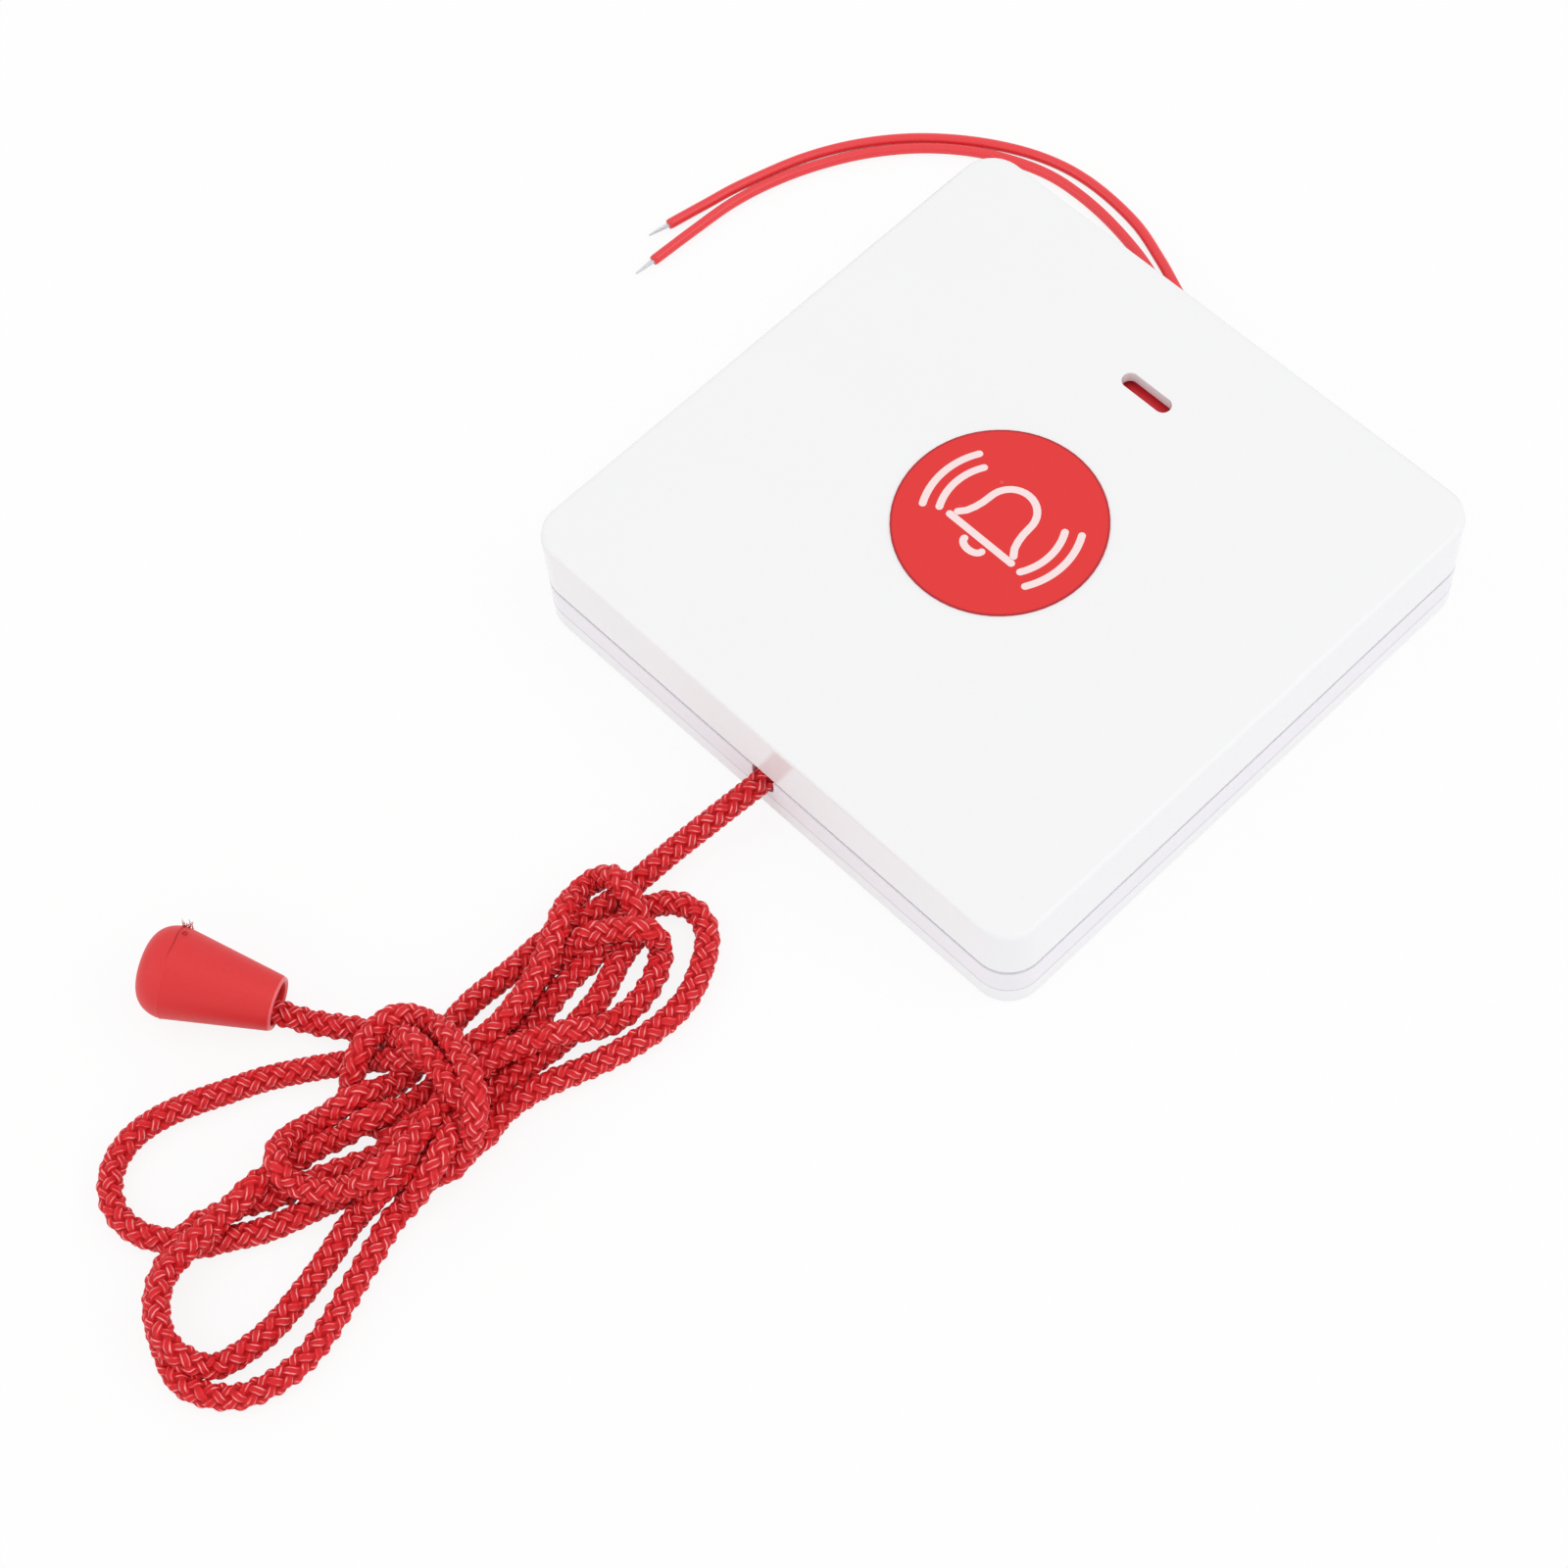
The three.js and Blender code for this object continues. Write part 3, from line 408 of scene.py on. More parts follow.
# Circuit board: solder mask with tracks under it
boardLook = {"mask": tint(28, 104, 58), "track": tint(58, 146, 84), "trackScale": 260.0}


def makeBoardGreen(look):
    material, tree, shader = startMaterial("boardGreen", Specular_IOR_Level=0.5)
    coords = addNode(tree, "ShaderNodeTexCoord").outputs["Object"]
    bricks = addNode(tree, "ShaderNodeTexBrick", {
        "Vector": coords, "Scale": look["trackScale"], "Mortar Size": 0.06, "Mortar Smooth": 0.2})
    lines = bricks.outputs["Fac"]
    colour = mixColour(tree, lines, look["mask"], look["track"])
    grained(tree, shader, colour, 0.3, Grain_Scale=2000.0, Grain_Height=0.000004, Mottle=0.2)
    return material


boardGreen = makeBoardGreen(boardLook)

nodeMaterials = {
    whiteShellAbs: ("base_plate", "front_panel"),
    whiteFrameAbs: ("middle_frame", "slide_keeper", "pull_plunger"),
    discRed: ("face_disc",),
    flagRed: ("pull_slide", "press_plunger"),
    knotRed: ("cord_knot",),
    boardGreen: ("circuit_board",),
    blackPlastic: ("press_switch", "pull_switch"),
    zincSteel: ("slide_spring", "keeper_screw_1", "keeper_screw_2",
                *(f"{kind}_{i}" for kind in ("frame_screw", "board_screw", "panel_spring")
                  for i in range(1, 5))),
}
for material, names in nodeMaterials.items():
    for name in names:
        nodes[name].data.materials.clear()
        nodes[name].data.materials.append(material)
print("materials ready")


# Rounded CAD faces are shaded smooth across small angles; their shape isn't touched
smoothBelow = 34  # degrees between two faces


def shadeRounds(node, limit):
    mesh = node.data
    corners = np.array([loop.vertex_index for loop in mesh.loops])
    owner = np.zeros(len(mesh.loops), int)
    for face in mesh.polygons:
        owner[list(face.loop_indices)] = face.index
    places = np.array([v.co for v in mesh.vertices])
    _, place = np.unique(np.round(places / (0.002 * mm)).astype(np.int64), axis=0, return_inverse=True)
    place = place.reshape(-1)[corners]
    normals = np.array([face.normal for face in mesh.polygons])
    areas = np.array([face.area for face in mesh.polygons])
    order = np.argsort(place, kind="stable")
    shaded = normals[owner].copy()
    starts = np.flatnonzero(np.r_[True, np.diff(place[order]) > 0, True])
    cosine = math.cos(math.radians(limit))
    for first, last in zip(starts[:-1], starts[1:]):
        group = order[first:last]
        faces = owner[group]
        near = (normals[faces] @ normals[faces].T) > cosine
        shaded[group] = (near * areas[faces][None, :]) @ normals[faces]
    shaded /= np.maximum(np.linalg.norm(shaded, axis=1, keepdims=True), 1e-12)
    for face in mesh.polygons:
        face.use_smooth = True
    mesh.normals_split_custom_set(shaded.tolist())


for node in nodes.values():
    shadeRounds(node, smoothBelow)
print("CAD rounds shaded")


# Mesh helpers, in millimetres
def makePiece(name, points, faces, material):
    mesh = bpy.data.meshes.new(name)
    mesh.from_pydata((np.asarray(points) * mm).tolist(), [], faces)
    mesh.update()
    mesh.shade_smooth()
    piece = bpy.data.objects.new(name, mesh)
    bpy.context.scene.collection.objects.link(piece)
    mesh.materials.append(material)
    return piece


def throughPoints(points, step):
    points = np.asarray(points, float)
    points = np.vstack([2 * points[0] - points[1], points, 2 * points[-1] - points[-2]])
    line = []
    for a, b, c, d in zip(points[:-3], points[1:-2], points[2:-1], points[3:]):
        count = max(2, int(np.linalg.norm(c - b) / step) + 1)
        for t in np.arange(count) / count:
            line.append(0.5 * (2 * b + (c - a) * t + (2 * a - 5 * b + 4 * c - d) * t * t
                               + (3 * b - a - 3 * c + d) * t ** 3))
    return evenly(np.array(line + [points[-2]]), step)


def evenly(line, step):
    run = np.r_[0, np.cumsum(np.linalg.norm(np.diff(line, axis=0), axis=1))]
    stops = np.linspace(0, run[-1], int(round(run[-1] / step)) + 1)
    return np.stack([np.interp(stops, run, line[:, k]) for k in range(3)], -1)


def lengthOf(line):
    return float(np.linalg.norm(np.diff(line, axis=0), axis=1).sum())


def framesAlong(line):
    tangents = np.gradient(line, axis=0)
    tangents /= np.linalg.norm(tangents, axis=1, keepdims=True)
    side = np.cross(tangents[0], (0.0, 0.0, 1.0))
    if np.linalg.norm(side) < 0.1:
        side = np.cross(tangents[0], (1.0, 0.0, 0.0))
    sides = []
    for tangent in tangents:
        side = side - tangent * (side @ tangent)
        side = side / np.linalg.norm(side)
        sides.append(side)
    sides = np.array(sides)
    return tangents, sides, np.cross(tangents, sides)


def ringFaces(rings, around, caps=True):
    faces = []
    for i in range(rings - 1):
        for j in range(around):
            k = (j + 1) % around
            faces.append((i * around + j, i * around + k, (i + 1) * around + k, (i + 1) * around + j))
    if caps:
        faces.append(tuple(reversed(range(around))))
        faces.append(tuple((rings - 1) * around + j for j in range(around)))
    return faces


def tubePoints(line, radii, around):
    tangents, sides, ups = framesAlong(line)
    angles = np.arange(around) * 2 * math.pi / around
    radii = np.broadcast_to(np.asarray(radii, float).reshape(len(line), -1), (len(line), around))
    ring = np.cos(angles)[None, :, None] * sides[:, None] + np.sin(angles)[None, :, None] * ups[:, None]
    return (line[:, None] + radii[..., None] * ring).reshape(-1, 3)


# Pull cord. The tied bundle is followed strand by strand in the picture: pixel, pixel, height of
# the cord's middle in millimetres. It then settles under its own weight, strand on strand
cordFromKnot = [(0, -31.6, 6.2), (0, -41.2, 6.2), (0, -43, 6.2)]
cordBundle = [
    # from the plate to the waist
    (770, 803, 6.0), (752, 817, 5.5), (734, 831, 4.8),
    (716, 845, 4.0), (697, 860, 3.2), (678, 875, 2.5),
    (661, 890, 2.0), (646, 903, 1.8), (631, 915, 1.8), (614, 926, 1.8),
    (592, 937, 1.8), (574, 951, 1.8), (556, 962, 1.8),
    (542, 974, 1.8), (528, 986, 1.8), (510, 1000, 1.8),
    (492, 1013, 1.8), (476, 1027, 1.8), (462, 1043, 1.8), (447, 1062, 1.8), (430, 1080, 1.9),
    # short loop on top, left
    (410, 1093, 3.0), (384, 1106, 4.6), (352, 1122, 5.0), (324, 1135, 4.8), (300, 1147, 4.7),
    (283, 1162, 5.6), (276, 1180, 6.2), (285, 1197, 6.4), (303, 1208, 6.0), (328, 1213, 5.4),
    (355, 1210, 5.6), (381, 1199, 6.6), (402, 1183, 7.4), (418, 1165, 7.8), (432, 1146, 7.6),
    (447, 1126, 7.0),
    # middle loop, right
    (466, 1103, 6.4), (486, 1083, 5.6), (506, 1070, 5.2), (529, 1064, 5.2), (555, 1056, 5.2),
    (580, 1049, 5.2), (600, 1042, 5.2), (619, 1035, 5.0), (638, 1026, 4.0), (655, 1013, 3.0),
    (667, 997, 2.4), (674, 978, 2.2), (674, 960, 3.2), (664, 946, 5.2), (648, 939, 6.6),
    (630, 941, 6.8), (612, 947, 5.6), (594, 955, 4.2), (578, 966, 2.8), (563, 980, 1.8),
    (550, 997, 1.8), (538, 1016, 1.8), (525, 1037, 1.8), (508, 1057, 1.8), (486, 1075, 1.8),
    (462, 1092, 1.9),
    # long loop, left, inner strand
    (436, 1110, 2.8), (408, 1126, 4.2), (376, 1141, 4.4), (347, 1155, 3.2), (322, 1168, 1.8),
    (297, 1186, 1.9), (271, 1204, 3.2), (246, 1220, 5.0), (222, 1234, 6.6), (201, 1248, 7.8),
    (183, 1265, 8.2), (169, 1283, 6.8), (161, 1307, 5.2), (158, 1333, 5.0), (162, 1358, 5.0),
    (172, 1377, 4.0), (190, 1391, 3.6), (211, 1396, 3.0), (231, 1388, 2.4), (255, 1375, 1.8),
    (279, 1355, 1.8), (300, 1330, 1.8), (319, 1306, 1.8), (336, 1282, 1.8), (352, 1257, 1.8),
    (366, 1235, 2.0), (385, 1218, 3.0), (404, 1200, 4.4), (430, 1183, 4.8), (458, 1167, 4.4),
    (484, 1150, 2.8),
    # outer loop, right
    (510, 1133, 1.8), (536, 1117, 1.8), (561, 1104, 1.8), (587, 1094, 1.8), (612, 1083, 1.8),
    (638, 1070, 1.8), (661, 1056, 1.8), (683, 1039, 1.8), (700, 1021, 1.8), (712, 998, 1.8),
    (720, 974, 1.8), (723, 955, 1.8), (718, 937, 1.8), (703, 924, 1.8), (684, 919, 1.8),
    (666, 924, 1.8), (649, 934, 1.8), (634, 945, 1.8), (618, 961, 1.8), (600, 979, 1.8),
    (583, 996, 1.8), (569, 1013, 1.8), (557, 1029, 1.8), (546, 1044, 1.8), (530, 1062, 1.8),
    (510, 1082, 1.8), (486, 1103, 1.8), (462, 1123, 2.4),
    # long loop, left, outer strand
    (438, 1140, 3.6), (410, 1158, 4.4), (384, 1173, 4.2), (355, 1188, 2.6), (326, 1202, 1.8),
    (298, 1212, 1.8), (272, 1219, 1.8), (247, 1229, 1.8), (224, 1240, 1.8), (203, 1252, 1.8),
    (185, 1267, 1.8), (171, 1287, 1.8), (161, 1311, 1.8),
    (158, 1337, 1.8), (163, 1363, 1.8), (172, 1386, 1.8),
    (181, 1403, 1.8), (201, 1419, 1.8), (225, 1426, 1.8), (250, 1425, 1.8), (275, 1413, 1.8),
    (301, 1397, 1.8), (321, 1375, 1.8), (338, 1351, 1.8), (353, 1325, 1.8), (368, 1299, 1.8),
    (383, 1274, 1.8), (396, 1250, 1.9), (407, 1226, 4.0), (422, 1206, 6.4), (438, 1184, 7.6),
    (456, 1160, 7.2), (474, 1138, 5.4), (490, 1119, 3.2),
    # small loop on top, right
    (508, 1104, 2.0), (530, 1089, 1.8), (553, 1076, 1.8), (577, 1060, 1.8), (598, 1035, 1.8),
    (613, 1017, 1.8), (623, 997, 1.8), (630, 978, 1.8), (638, 960, 2.6), (648, 949, 4.0),
    (651, 933, 5.2), (645, 915, 5.4), (633, 900, 4.0), (617, 893, 2.6), (602, 898, 1.9),
    (590, 911, 1.9), (581, 926, 2.2), (573, 941, 3.4), (565, 955, 4.8), (557, 971, 5.2),
    (549, 988, 5.2), (539, 1006, 5.2), (526, 1022, 5.2), (512, 1041, 5.2), (495, 1058, 5.2),
    (475, 1070, 5.4), (450, 1077, 5.4),
    # wide loop on the surface, left
    (424, 1079, 4.8), (400, 1079, 3.2), (377, 1080, 1.9), (351, 1086, 1.8), (323, 1089, 1.8),
    (295, 1095, 1.8), (264, 1102, 1.8), (234, 1113, 1.8), (203, 1123, 1.8), (173, 1135, 1.8),
    (148, 1149, 1.8), (129, 1166, 1.8), (115, 1189, 1.8), (111, 1213, 1.8), (116, 1235, 1.8),
    (132, 1253, 1.8), (153, 1264, 1.8), (178, 1268, 1.8), (205, 1268, 1.8), (232, 1263, 1.8),
    (258, 1259, 1.8), (284, 1250, 1.8), (310, 1238, 1.8), (336, 1225, 1.8), (362, 1218, 1.8),
    (392, 1213, 1.8), (422, 1203, 1.8), (449, 1190, 1.9), (469, 1172, 3.2), (480, 1152, 5.6),
    # wrap over the waist, down its left side and under it
    (486, 1132, 8.4), (480, 1104, 9.8), (471, 1078, 9.8), (458, 1053, 8.8), (440, 1036, 7.6),
    (419, 1028, 6.8), (398, 1033, 6.6), (380, 1046, 6.4), (367, 1063, 5.6), (360, 1082, 5.2),
    (356, 1100, 3.4), (357, 1116, 1.8), (366, 1133, 1.8), (386, 1150, 1.8), (416, 1161, 1.8),
    (448, 1162, 1.8), (470, 1152, 3.4), (475, 1134, 6.2),
    # back over the waist and out to the knob
    (465, 1112, 8.4), (450, 1089, 9.0), (433, 1070, 8.6), (414, 1057, 7.0), (394, 1050, 4.8),
    (372, 1047, 3.0), (348, 1047, 2.0), (325, 1044, 1.9), (303, 1039, 2.4), (288, 1034, 2.9),
    (270, 1029, 3.4),
]
cordSettle = {
    "spacing": 1.0,
    "apart": 2.95,
    "rounds": 160,
    "holdInPlan": 0.08,
    "restHeight": 1.7,
    "smoothings": 4,
    "heldStart": 34,
    "heldEnd": 5,
    "sameStretch": 2.2,
    "pushShare": 0.5,
    "pushGain": 1.3,
    "sag": 0.02,
    "calming": 0.6,
    "length": 0.76,
}


def settleCord(line, values):
    traced = line.copy()
    count = len(line)
    step = lengthOf(line) / (count - 1)
    index = np.arange(count)
    apart = values["apart"]
    others = np.abs(index[:, None] - index[None, :]) > math.ceil(values["sameStretch"] * apart / step)
    fixed = (index < values["heldStart"] / step) | (index >= count - int(values["heldEnd"] / step))
    soften = (0.25, 0.5, 0.25)  # shares of a point and its two neighbours
    for _ in range(values["rounds"]):
        gap = line[:, None] - line[None, :]
        distance = np.sqrt((gap ** 2).sum(-1)) + 1e-9
        touching = others & (distance < apart)
        push = np.where(touching, (apart - distance) / distance, 0)[..., None] * gap
        move = push.sum(1) / np.maximum(touching.sum(1), 1)[:, None] * values["pushShare"]
        spread = np.stack([np.convolve(move[:, k], soften, "same") for k in range(3)], -1)
        line = line + values["pushGain"] * spread
        line[:, 2] -= values["sag"]
        calm = line.copy()
        calm[2:-2] = (-line[:-4] + 4 * line[1:-3] + 10 * line[2:-2]
                      + 4 * line[3:-1] - line[4:]) / 16
        line = line + values["calming"] * (calm - line)
        line[:, :2] += values["holdInPlan"] * (traced[:, :2] - line[:, :2])
        line[:, 2] = np.maximum(line[:, 2], values["restHeight"])
        line[fixed] = traced[fixed]
    for _ in range(values["smoothings"]):
        line[1:-1] = soften[0] * line[:-2] + soften[1] * line[1:-1] + soften[2] * line[2:]
    return line


def makeBraid(name, line, values, material):
    line = throughPoints(line, values["ringStep"])
    around = values["around"]
    run = np.arange(len(line)) * lengthOf(line) / (len(line) - 1) / values["pitch"]
    turn = np.arange(around) / around
    yarns = values["yarnsEachWay"]
    ways = [yarns * (turn[None] - run[:, None]), yarns * (turn[None] + run[:, None])]
    rises = []
    for way, other, sign in ((ways[0], ways[1], 1), (ways[1], ways[0], -1)):
        index = np.round(way)
        share = (way - index) / values["yarnHalfWidth"]
        lift = sign * np.cos(math.pi * index) * np.cos(math.pi * other) * values["swing"]
        rises.append(lift + values["yarnHeight"] * np.sqrt(np.maximum(1 - share ** 2, 0)))
    radii = values["coreRadius"] + np.maximum(np.maximum(rises[0], rises[1]), values["gapFloor"])
    points = tubePoints(line, radii, around)
    piece = makePiece(name, points, ringFaces(len(line), around), material)
    layer = piece.data.uv_layers.new(name="braid")
    uvs = []
    for face in piece.data.polygons:
        corners = list(face.vertices)
        places = [(v % around, v // around) for v in corners]
        wraps = len(corners) == 4 and {0, around - 1} <= {j for j, _ in places}
        for j, i in places:
            uvs.extend(((j + around if wraps and j == 0 else j) / around, run[i]))
    layer.data.foreach_set("uv", np.array(uvs, np.float32))
    return piece


tracedCord = np.vstack([np.array(cordFromKnot, float), [pointBehind(*mark) for mark in cordBundle]])
cordLine = settleCord(throughPoints(tracedCord, cordSettle["spacing"]), cordSettle)
pullCord = makeBraid("braided_pull_cord", cordLine, braid, cordRed)
print("pull cord laid:", round(lengthOf(cordLine), 1), "mm")

# Knob: a soft hollow bell lying on its side, with its parting line and torn moulding flash
knob = {
    "mouth": (-21.5, -105.9),
    "heading": math.radians(209.3),
    "length": 17.75,
    "bigRadius": 5.95,
    "mouthRadius": 3.5,
    "bore": 2.7,
    "endBore": 0.8,
    "cone": 13.7,
    "wall": 1.2,
    "lipRound": 0.34,
    "domeSquareness": 0.56,
    "ridge": 0.03,
    "wobble": 0.02,
    "propped": 2.9,
    "around": 96,
}
flash = {
    "angle": 5.2,
    "seed": 7,
    "spikes": 14,
    "rings": 8,
    "lean": (0.1, 0.5, 0.9),
    "leanSpread": 0.45,
    "angleSpread": 0.09,
    "runSpread": 0.5,
    "shortest": 0.6,
    "longer": 0.9,
    "spikeRadius": 0.10,
    "curl": 0.3,
    "lineRadius": 0.085,
    "loopAngle": 0.42,
    "loopSize": 0.32,
    "loopRadius": 0.06,
}


def knobPlacer(values):
    taper = (values["bigRadius"] - values["mouthRadius"]) / values["cone"]
    tilt = math.atan(taper) - math.radians(values["propped"])
    heading = values["heading"]
    level = np.array([math.cos(heading), math.sin(heading), 0.0])
    axis = math.cos(tilt) * level + np.array([0, 0, math.sin(tilt)])
    up = -math.sin(tilt) * level + np.array([0, 0, math.cos(tilt)])
    side = np.cross(up, axis)
    height = values["bigRadius"] * math.cos(tilt) - values["cone"] * math.sin(tilt)
    start = np.array([*values["mouth"], height])

    def place(radius, run, angle):
        spoke = np.cos(angle)[..., None] * up + np.sin(angle)[..., None] * side
        return start + axis * np.asarray(run)[..., None] + spoke * np.asarray(radius)[..., None]
    return place, taper


def makeKnob(values, material, rimHighlightMaterial):
    place, taper = knobPlacer(values)
    cone, length, wall = values["cone"], values["length"], values["wall"]
    outer, big, lip = values["mouthRadius"], values["bigRadius"], values["lipRound"]
    bore, endBore, ridge = values["bore"], values["endBore"], values["ridge"]

    def dome(count, radius, depth):
        angles = np.linspace(0, math.pi / 2, count + 2)[1:-1]
        power = values["domeSquareness"]
        return [(radius * math.cos(a) ** power, cone + depth * math.sin(a)) for a in angles]
    mouth = [(outer - lip + lip * math.sin(a), lip - lip * math.cos(a)) for a in np.linspace(0, 1.45, 7)]
    sides = [(outer + taper * s, s) for s in np.linspace(0.6, cone - 0.35, 30)]
    parting = [(big - 0.02, cone - 0.12), (big + ridge, cone), (big - ridge, cone + 0.12)]
    rounded = [p for p in dome(26, big, length - cone) if p[1] > cone + 0.3]
    closing = [(endBore + 0.1, length - 0.02), (endBore, length - 0.1), (endBore, length - wall)]
    inside = [p for p in dome(8, big - wall, length - cone - wall)[::-1] if p[0] > endBore + 0.2]
    hollow = [(outer + taper * cone - wall, cone)]
    hollow += [(max(bore, outer + taper * s - wall - 0.1), s) for s in (11, 8, 5, 3)]
    hollow += [(bore, 1.6), (bore, 0.8), (bore + 0.08, 0.25)]
    profile = mouth + sides + parting + rounded + closing + inside + hollow
    around = values["around"]
    angles = np.arange(around) * 2 * math.pi / around
    rings = []
    for radius, run in profile:
        wobble = values["wobble"] * np.sin(2 * angles + 0.7) * min(1, radius / 3)
        rings.append(place(radius + wobble, np.full(around, run), angles))
    last = (len(profile) - 1) * around
    faces = ringFaces(len(profile), around, caps=False)
    faces += [(last + j, last + (j + 1) % around, (j + 1) % around, j) for j in range(around)]
    piece = makePiece("bell_knob", np.concatenate(rings), faces, material)
    piece.data.materials.append(rimHighlightMaterial)
    # painted highlight: the mouth lip and the faces closing it take the paler red
    rim = [face for face in piece.data.polygons if max(face.vertices) < len(mouth) * around]
    for face in rim + list(piece.data.polygons)[-around:]:
        face.material_index = 1
    return piece


def makeFlash(values, look, material):
    place, _ = knobPlacer(values)
    rng = np.random.default_rng(look["seed"])
    big, cone = values["bigRadius"], values["cone"]
    points, faces = [], []

    def addStrand(line, radii):
        start = sum(len(part) for part in points)
        faces.extend(tuple(v + start for v in face) for face in ringFaces(len(line), 6))
        points.append(tubePoints(np.array(line), np.asarray(radii)[:, None], 6))
    for _ in range(look["spikes"]):
        angle = look["angle"] + look["angleSpread"] * rng.normal()
        run = cone + 0.1 + look["runSpread"] * rng.normal()
        base = place(np.array(big - 0.15), np.array(run), np.array(angle))
        lean = look["leanSpread"] * rng.normal(size=3) + np.array(look["lean"])
        lean /= np.linalg.norm(lean)
        curl = look["curl"] * rng.normal(size=3)
        reach = look["shortest"] + look["longer"] * rng.random()
        addStrand([base + lean * reach * t + curl * t * t for t in np.linspace(0, 1, look["rings"])],
                  look["spikeRadius"] * (1 - np.linspace(0, 0.85, look["rings"])))
    # torn parting line, and the small loop beside it
    turns = look["angle"] + np.linspace(0.1, 1.25, 22)
    runs = cone + 0.25 + 0.10 * np.sin(7 * turns)
    fade = np.sin(np.linspace(0.15, math.pi - 0.05, 22))
    addStrand(place(big - 0.03 * np.ones(22), runs, turns), look["lineRadius"] * fade + 0.01)
    around = np.linspace(0, 1.8 * math.pi, 16)
    turns = look["angle"] + look["loopAngle"] + 0.055 * np.sin(around)
    runs = cone - 0.45 + look["loopSize"] * np.cos(around)
    addStrand(place(big + 0.02 * np.ones(16), runs, turns), np.full(16, look["loopRadius"]))
    return makePiece("knob_flash", np.concatenate(points), faces, material)


bellKnob = makeKnob(knob, knobRed, rimHighlightRed)
knobFlash = makeFlash(knob, flash, flashRed)
for piece in (bellKnob, knobFlash, pullCord):
    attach(piece, "housing")
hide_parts("pull_knob")
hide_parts("pull_cord", "pull_cord_hank", "pull_cord_tail")
print("knob ready")

# Supply leads, from the board inside to their bare ends on the surface
leads = {
    "radius": 0.75,
    "height": 0.85,
    "step": 0.5,
    "around": 20,
    "tip": 3.2,
    "strand": 0.12,
    "strandSpacing": 1.92,
    "strandTwist": 0.9,
    "tipNarrowing": 0.62,
    "tipRings": 22,
    "tipAround": 8,
    "exits": [(-0.0019, 0.006, 0.00085), (-0.0039, 0.007, 0.00085)],
}
leadRoutes = [
    [(-13.2, -4.9, 7.3), (-13.2, -4.9, 4.2), (-12.4, -4.7, 1.6), (-9.6, -3.6), (-5, 0.4), (-1.9, 6),
     (-1.1, 12), (-1.1, 25), (-1.1, 38), (-1.8, 43.2), (-4.6, 46.8), (-9.7, 49.3), (-15.9, 52),
     (-21.5, 54.4), (-28.5, 56.7), (-37.5, 57.5), (-45.2, 56.2), (-52.9, 52.6), (-60.2, 47.1),
     (-65.9, 40.5), (-70.1, 32.9), (-73.1, 23.7), (-74.4, 17.6), (-75.6, 11.6)],
    [(-13.2, -2.3, 7.3), (-13.2, -2.3, 4.2), (-12.4, -2.1, 1.6), (-9.9, -0.9), (-6.4, 2.6), (-3.9, 7),
     (-3, 12), (-3, 25), (-3, 38), (-3.8, 42.4), (-6.9, 45.6), (-12.1, 48.4), (-18.6, 51), (-24.4, 53),
     (-31.1, 54.4), (-37.2, 54.9), (-42.8, 54.5), (-48.5, 52.7), (-54.3, 49.6), (-59.8, 45),
     (-64.5, 39.2), (-68, 32.9), (-70.4, 26.6), (-71.8, 20.3), (-72.3, 13), (-72.6, 5.8)],
]


def makeLead(number, route, values):
    points = [(*p, values["height"]) if len(p) == 2 else p for p in route]
    line = throughPoints(points, values["step"])
    radii = np.full(len(line), values["radius"])
    radii[0] = radii[-1] = values["radius"] - 0.06
    tube = tubePoints(line, radii[:, None], values["around"])
    lead = makePiece(f"lead_{number}", tube, ringFaces(len(line), values["around"]), leadRed)
    heading = line[-1] - line[-2]
    heading /= np.linalg.norm(heading)
    side = np.cross(heading, (0, 0, 1))
    strandPoints, strandFaces = [], []
    rings, around = values["tipRings"], values["tipAround"]
    runs = np.linspace(-0.5, values["tip"], rings)
    narrow = 1 - values["tipNarrowing"] * np.clip(runs / values["tip"], 0, 1) ** 1.5
    for i in range(7):  # six strands round one
        turn = i * math.pi / 3 + runs * values["strandTwist"]
        spread = 0 * runs if i == 6 else values["strandSpacing"] * values["strand"] * narrow
        strand = (line[-1] + heading * runs[:, None] + (spread * np.cos(turn))[:, None] * side
                  + (spread * np.sin(turn))[:, None] * np.array((0, 0, 1.0)))
        strand = tubePoints(strand, (values["strand"] * narrow)[:, None], around)
        strandFaces += [tuple(v + i * len(strand) for v in face) for face in ringFaces(rings, around)]
        strandPoints.append(strand)
    tip = makePiece(f"stranded_tip_{number}", np.concatenate(strandPoints), strandFaces, tinnedCopper)
    for piece, slot, node in ((lead, "red_lead", f"lead_wire_{number}"),
                              (tip, "tinned_copper", f"wire_tip_{number}")):
        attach(piece, "housing")
        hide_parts(node)
    print("lead", number, "is", round(lengthOf(line), 1), "mm")
    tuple(values["exits"][number - 1])


for number, route in enumerate(leadRoutes, 1):
    makeLead(number, route, leads)

# Painted shadow: a thin grey band, barely proud of the surface, put where the frame meets the base to
# stand for the shade there
jointShadowBand = {"height": 3.4, "width": 0.12, "proud": 0.015, "inset": 0.004, "corner": 5.0, "steps": 12}


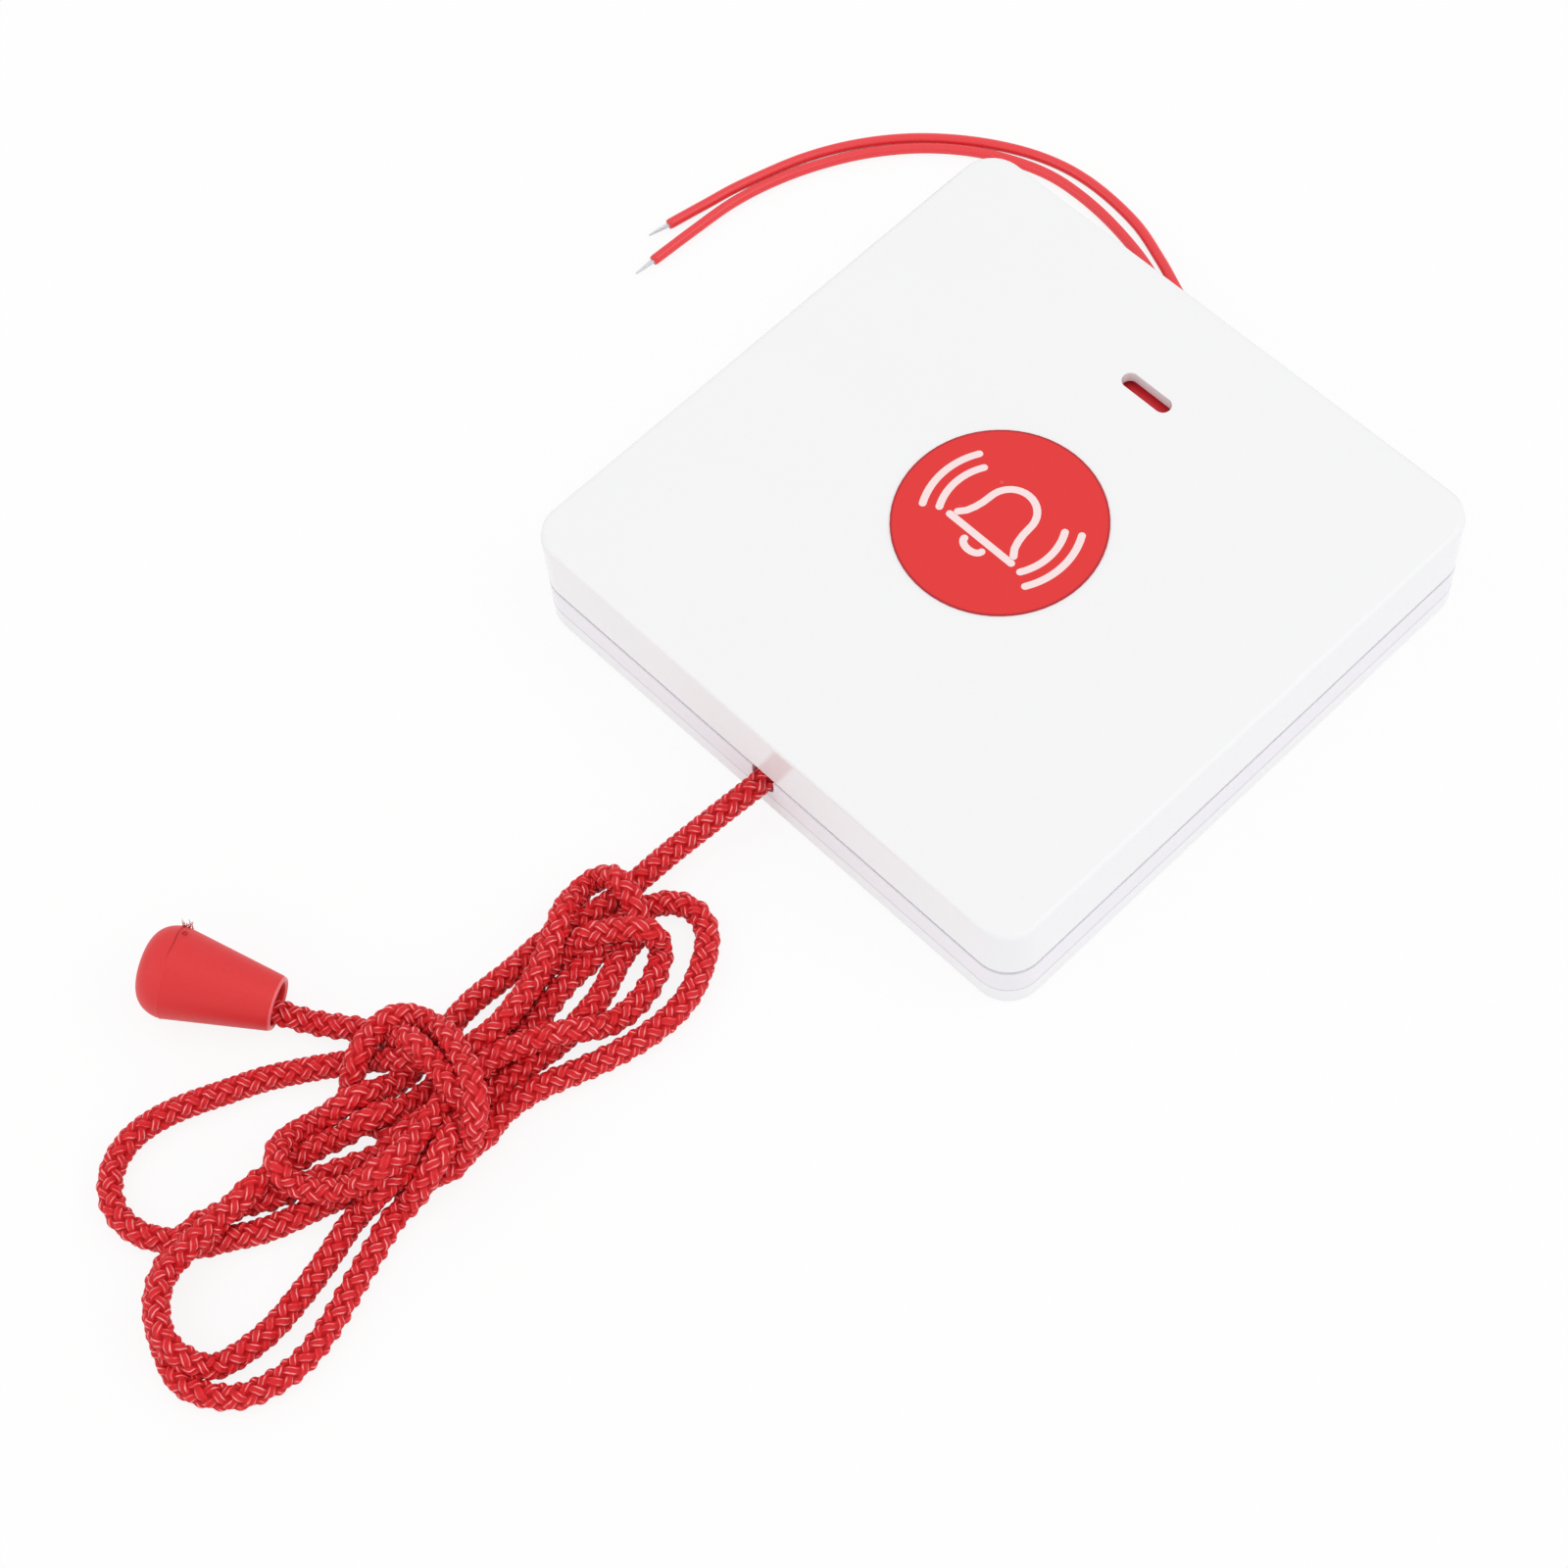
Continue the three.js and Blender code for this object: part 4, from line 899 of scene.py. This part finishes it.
def makeJointShadowBand(values):
    low, high = (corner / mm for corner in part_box("middle_frame"))
    # painted shadow: the band's grey-lavender colour
    material = makePlain("jointShade", tint(205, 200, 212), 0.5, Mottle=0.1)
    proud, corner = values["proud"], values["corner"]
    outline = []
    corners = ((high.x, high.y), (low.x, high.y), (low.x, low.y), (high.x, low.y))
    for quarter, (x, y) in enumerate(corners):
        middle = np.array((x - math.copysign(corner, x), y - math.copysign(corner, y)))
        for turn in np.linspace(0, math.pi / 2, values["steps"]) + quarter * math.pi / 2:
            outline.append(middle + (corner + proud) * np.array((math.cos(turn), math.sin(turn))))
    outline = np.array(outline)
    inner = outline * (1 - values["inset"])
    z = (values["height"] - values["width"] / 2, values["height"] + values["width"] / 2)
    rings = [(inner, z[0]), (outline, z[0]), (outline, z[1]), (inner, z[1])]
    points = [(*p, level) for ring, level in rings for p in ring]
    count = len(outline)
    faces = []
    for a, b in ((0, 1), (1, 2), (2, 3), (3, 0)):
        for i in range(count):
            k = (i + 1) % count
            faces.append((a * count + i, a * count + k, b * count + k, b * count + i))
    line = makePiece("joint_shadow_band", points, faces, material)
    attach(line, "housing")


makeJointShadowBand(jointShadowBand)

# Printed bell on the disc, in plain strokes
bellSign = {
    "top": 18.15,
    "thickness": 0.03,
    "stroke": 1.0,
    "flare": [(4.9, -2.6), (4.2, -1.7), (3.8, -0.6), (3.55, 0.6)],
    "domeRadius": 3.45,
    "domeHeight": 1.9,
    "base": (5.4, -3.55),
    "clapper": (1.5, 0.9, -4.9),
    "arcHeight": 0.4,
    "arcRadii": (8.2, 10.4),
    "arcSpread": 30,
}


def strokeMesh(line, width, low, high):
    line = np.asarray(line, float)
    along = np.gradient(line, axis=0)
    along /= np.linalg.norm(along, axis=1, keepdims=True)
    side = np.stack([-along[:, 1], along[:, 0]], -1) * width / 2
    caps = []
    for end, heading in ((0, -1), (-1, 1)):
        base = math.atan2(*(heading * along[end])[::-1])
        turns = base + np.linspace(math.pi / 2, -math.pi / 2, 9)
        caps.append(line[end] + width / 2 * np.stack([np.cos(turns), np.sin(turns)], -1))
    outline = np.vstack([(line + side)[1:-1], caps[1], (line - side)[1:-1][::-1], caps[0]])
    count = len(outline)
    points = [(*p, z) for z in (low, high) for p in outline]
    faces = [tuple(range(count))[::-1], tuple(range(count, 2 * count))]
    faces += [(i, (i + 1) % count, count + (i + 1) % count, count + i) for i in range(count)]
    return points, faces


def makeBellSign(values):
    low, high = values["top"], values["top"] + values["thickness"]
    radius, height = values["domeRadius"], values["domeHeight"]
    half = values["flare"] + [(radius * math.cos(a), height + radius * math.sin(a))
                              for a in np.radians(np.arange(0, 81, 10))]
    bell = half + [(0, height + radius)] + [(-x, y) for x, y in half[::-1]]
    baseHalf, baseHeight = values["base"]
    wide, deep, hung = values["clapper"]
    strokes = [bell, [(x, baseHeight) for x in np.linspace(-baseHalf, baseHalf, 9)]]
    turns = np.radians(np.arange(0, 181, 18))
    strokes.append([(wide * math.cos(t), hung - deep * math.sin(t)) for t in turns])
    spread, middle = math.radians(values["arcSpread"]), values["arcHeight"]
    for radius in values["arcRadii"]:
        for side in (0, math.pi):
            turns = side + np.linspace(-spread, spread, 15)
            strokes.append([(radius * math.cos(t), middle + radius * math.sin(t)) for t in turns])
    points, faces = [], []
    for line in strokes:
        morePoints, moreFaces = strokeMesh(line, values["stroke"], low, high)
        faces += [tuple(v + len(points) for v in face) for face in moreFaces]
        points += morePoints
    sign = makePiece("bell_sign", points, faces, symbolWhite)
    for face in sign.data.polygons:
        face.use_smooth = False
    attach(sign, "panel")


makeBellSign(bellSign)
print("bell sign printed")

# Floor, world and lamps
stageLook = {
    "floorSide": 3.0,
    "floorWhite": (0.96, 0.96, 0.96, 1.0),
    "seenShare": 0.86,
    "worldStrength": 0.83,
    "lamps": [
        ("keyLamp", (0.55, 0.35, 0.95), 0.9, 2.0),
        ("fillLamp", (-0.40, -0.75, 0.80), 0.9, 1.1),
    ],
}


def seenDirectly(tree):
    path = addNode(tree, "ShaderNodeLightPath").outputs
    seen = calc(tree, "MAXIMUM", path["Is Camera Ray"], path["Is Glossy Ray"])
    return calc(tree, "MAXIMUM", seen, path["Is Transmission Ray"])


def makeStage(look):
    side = look["floorSide"] / mm / 2
    corners = [(-side, -side, 0), (side, -side, 0), (side, side, 0), (-side, side, 0)]
    material = bpy.data.materials.new("floorWhite")
    material.use_nodes = True
    tree = material.node_tree
    tree.nodes.clear()
    diffuse = addNode(tree, "ShaderNodeBsdfDiffuse", {"Color": look["floorWhite"]}).outputs[0]
    glow = addNode(tree, "ShaderNodeEmission", {"Color": (1, 1, 1, 1), "Strength": 1.0}).outputs[0]
    share = calc(tree, "MULTIPLY", seenDirectly(tree), look["seenShare"])
    mixed = addNode(tree, "ShaderNodeMixShader", {0: share, 1: diffuse, 2: glow}).outputs[0]
    addNode(tree, "ShaderNodeOutputMaterial", {"Surface": mixed})
    floor = makePiece("floor", corners, [(0, 1, 2, 3)], material)
    floor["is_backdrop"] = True

    world = bpy.data.worlds.new("softRoom")
    bpy.context.scene.world = world
    world.use_nodes = True
    tree = world.node_tree
    seen = seenDirectly(tree)
    strength = calc(tree, "MULTIPLY_ADD", seen, 1.0 - look["worldStrength"], look["worldStrength"])
    tree.links.new(strength, tree.nodes["Background"].inputs["Strength"])
    tree.nodes["Background"].inputs["Color"].default_value = (1, 1, 1, 1)
    for name, place, size, power in look["lamps"]:
        data = bpy.data.lights.new(name, "AREA")
        data.shape = "DISK"
        data.size = size
        data.energy = power
        lamp = bpy.data.objects.new(name, data)
        bpy.context.scene.collection.objects.link(lamp)
        lamp.location = place
        lamp.rotation_euler = (-Vector(place)).to_track_quat("-Z", "Y").to_euler()


makeStage(stageLook)
bpy.context.scene.view_settings.view_transform = "Standard"
print("stage ready")

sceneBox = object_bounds()
str([[list(corner) for corner in box] for box in (cadBox, sceneBox)])
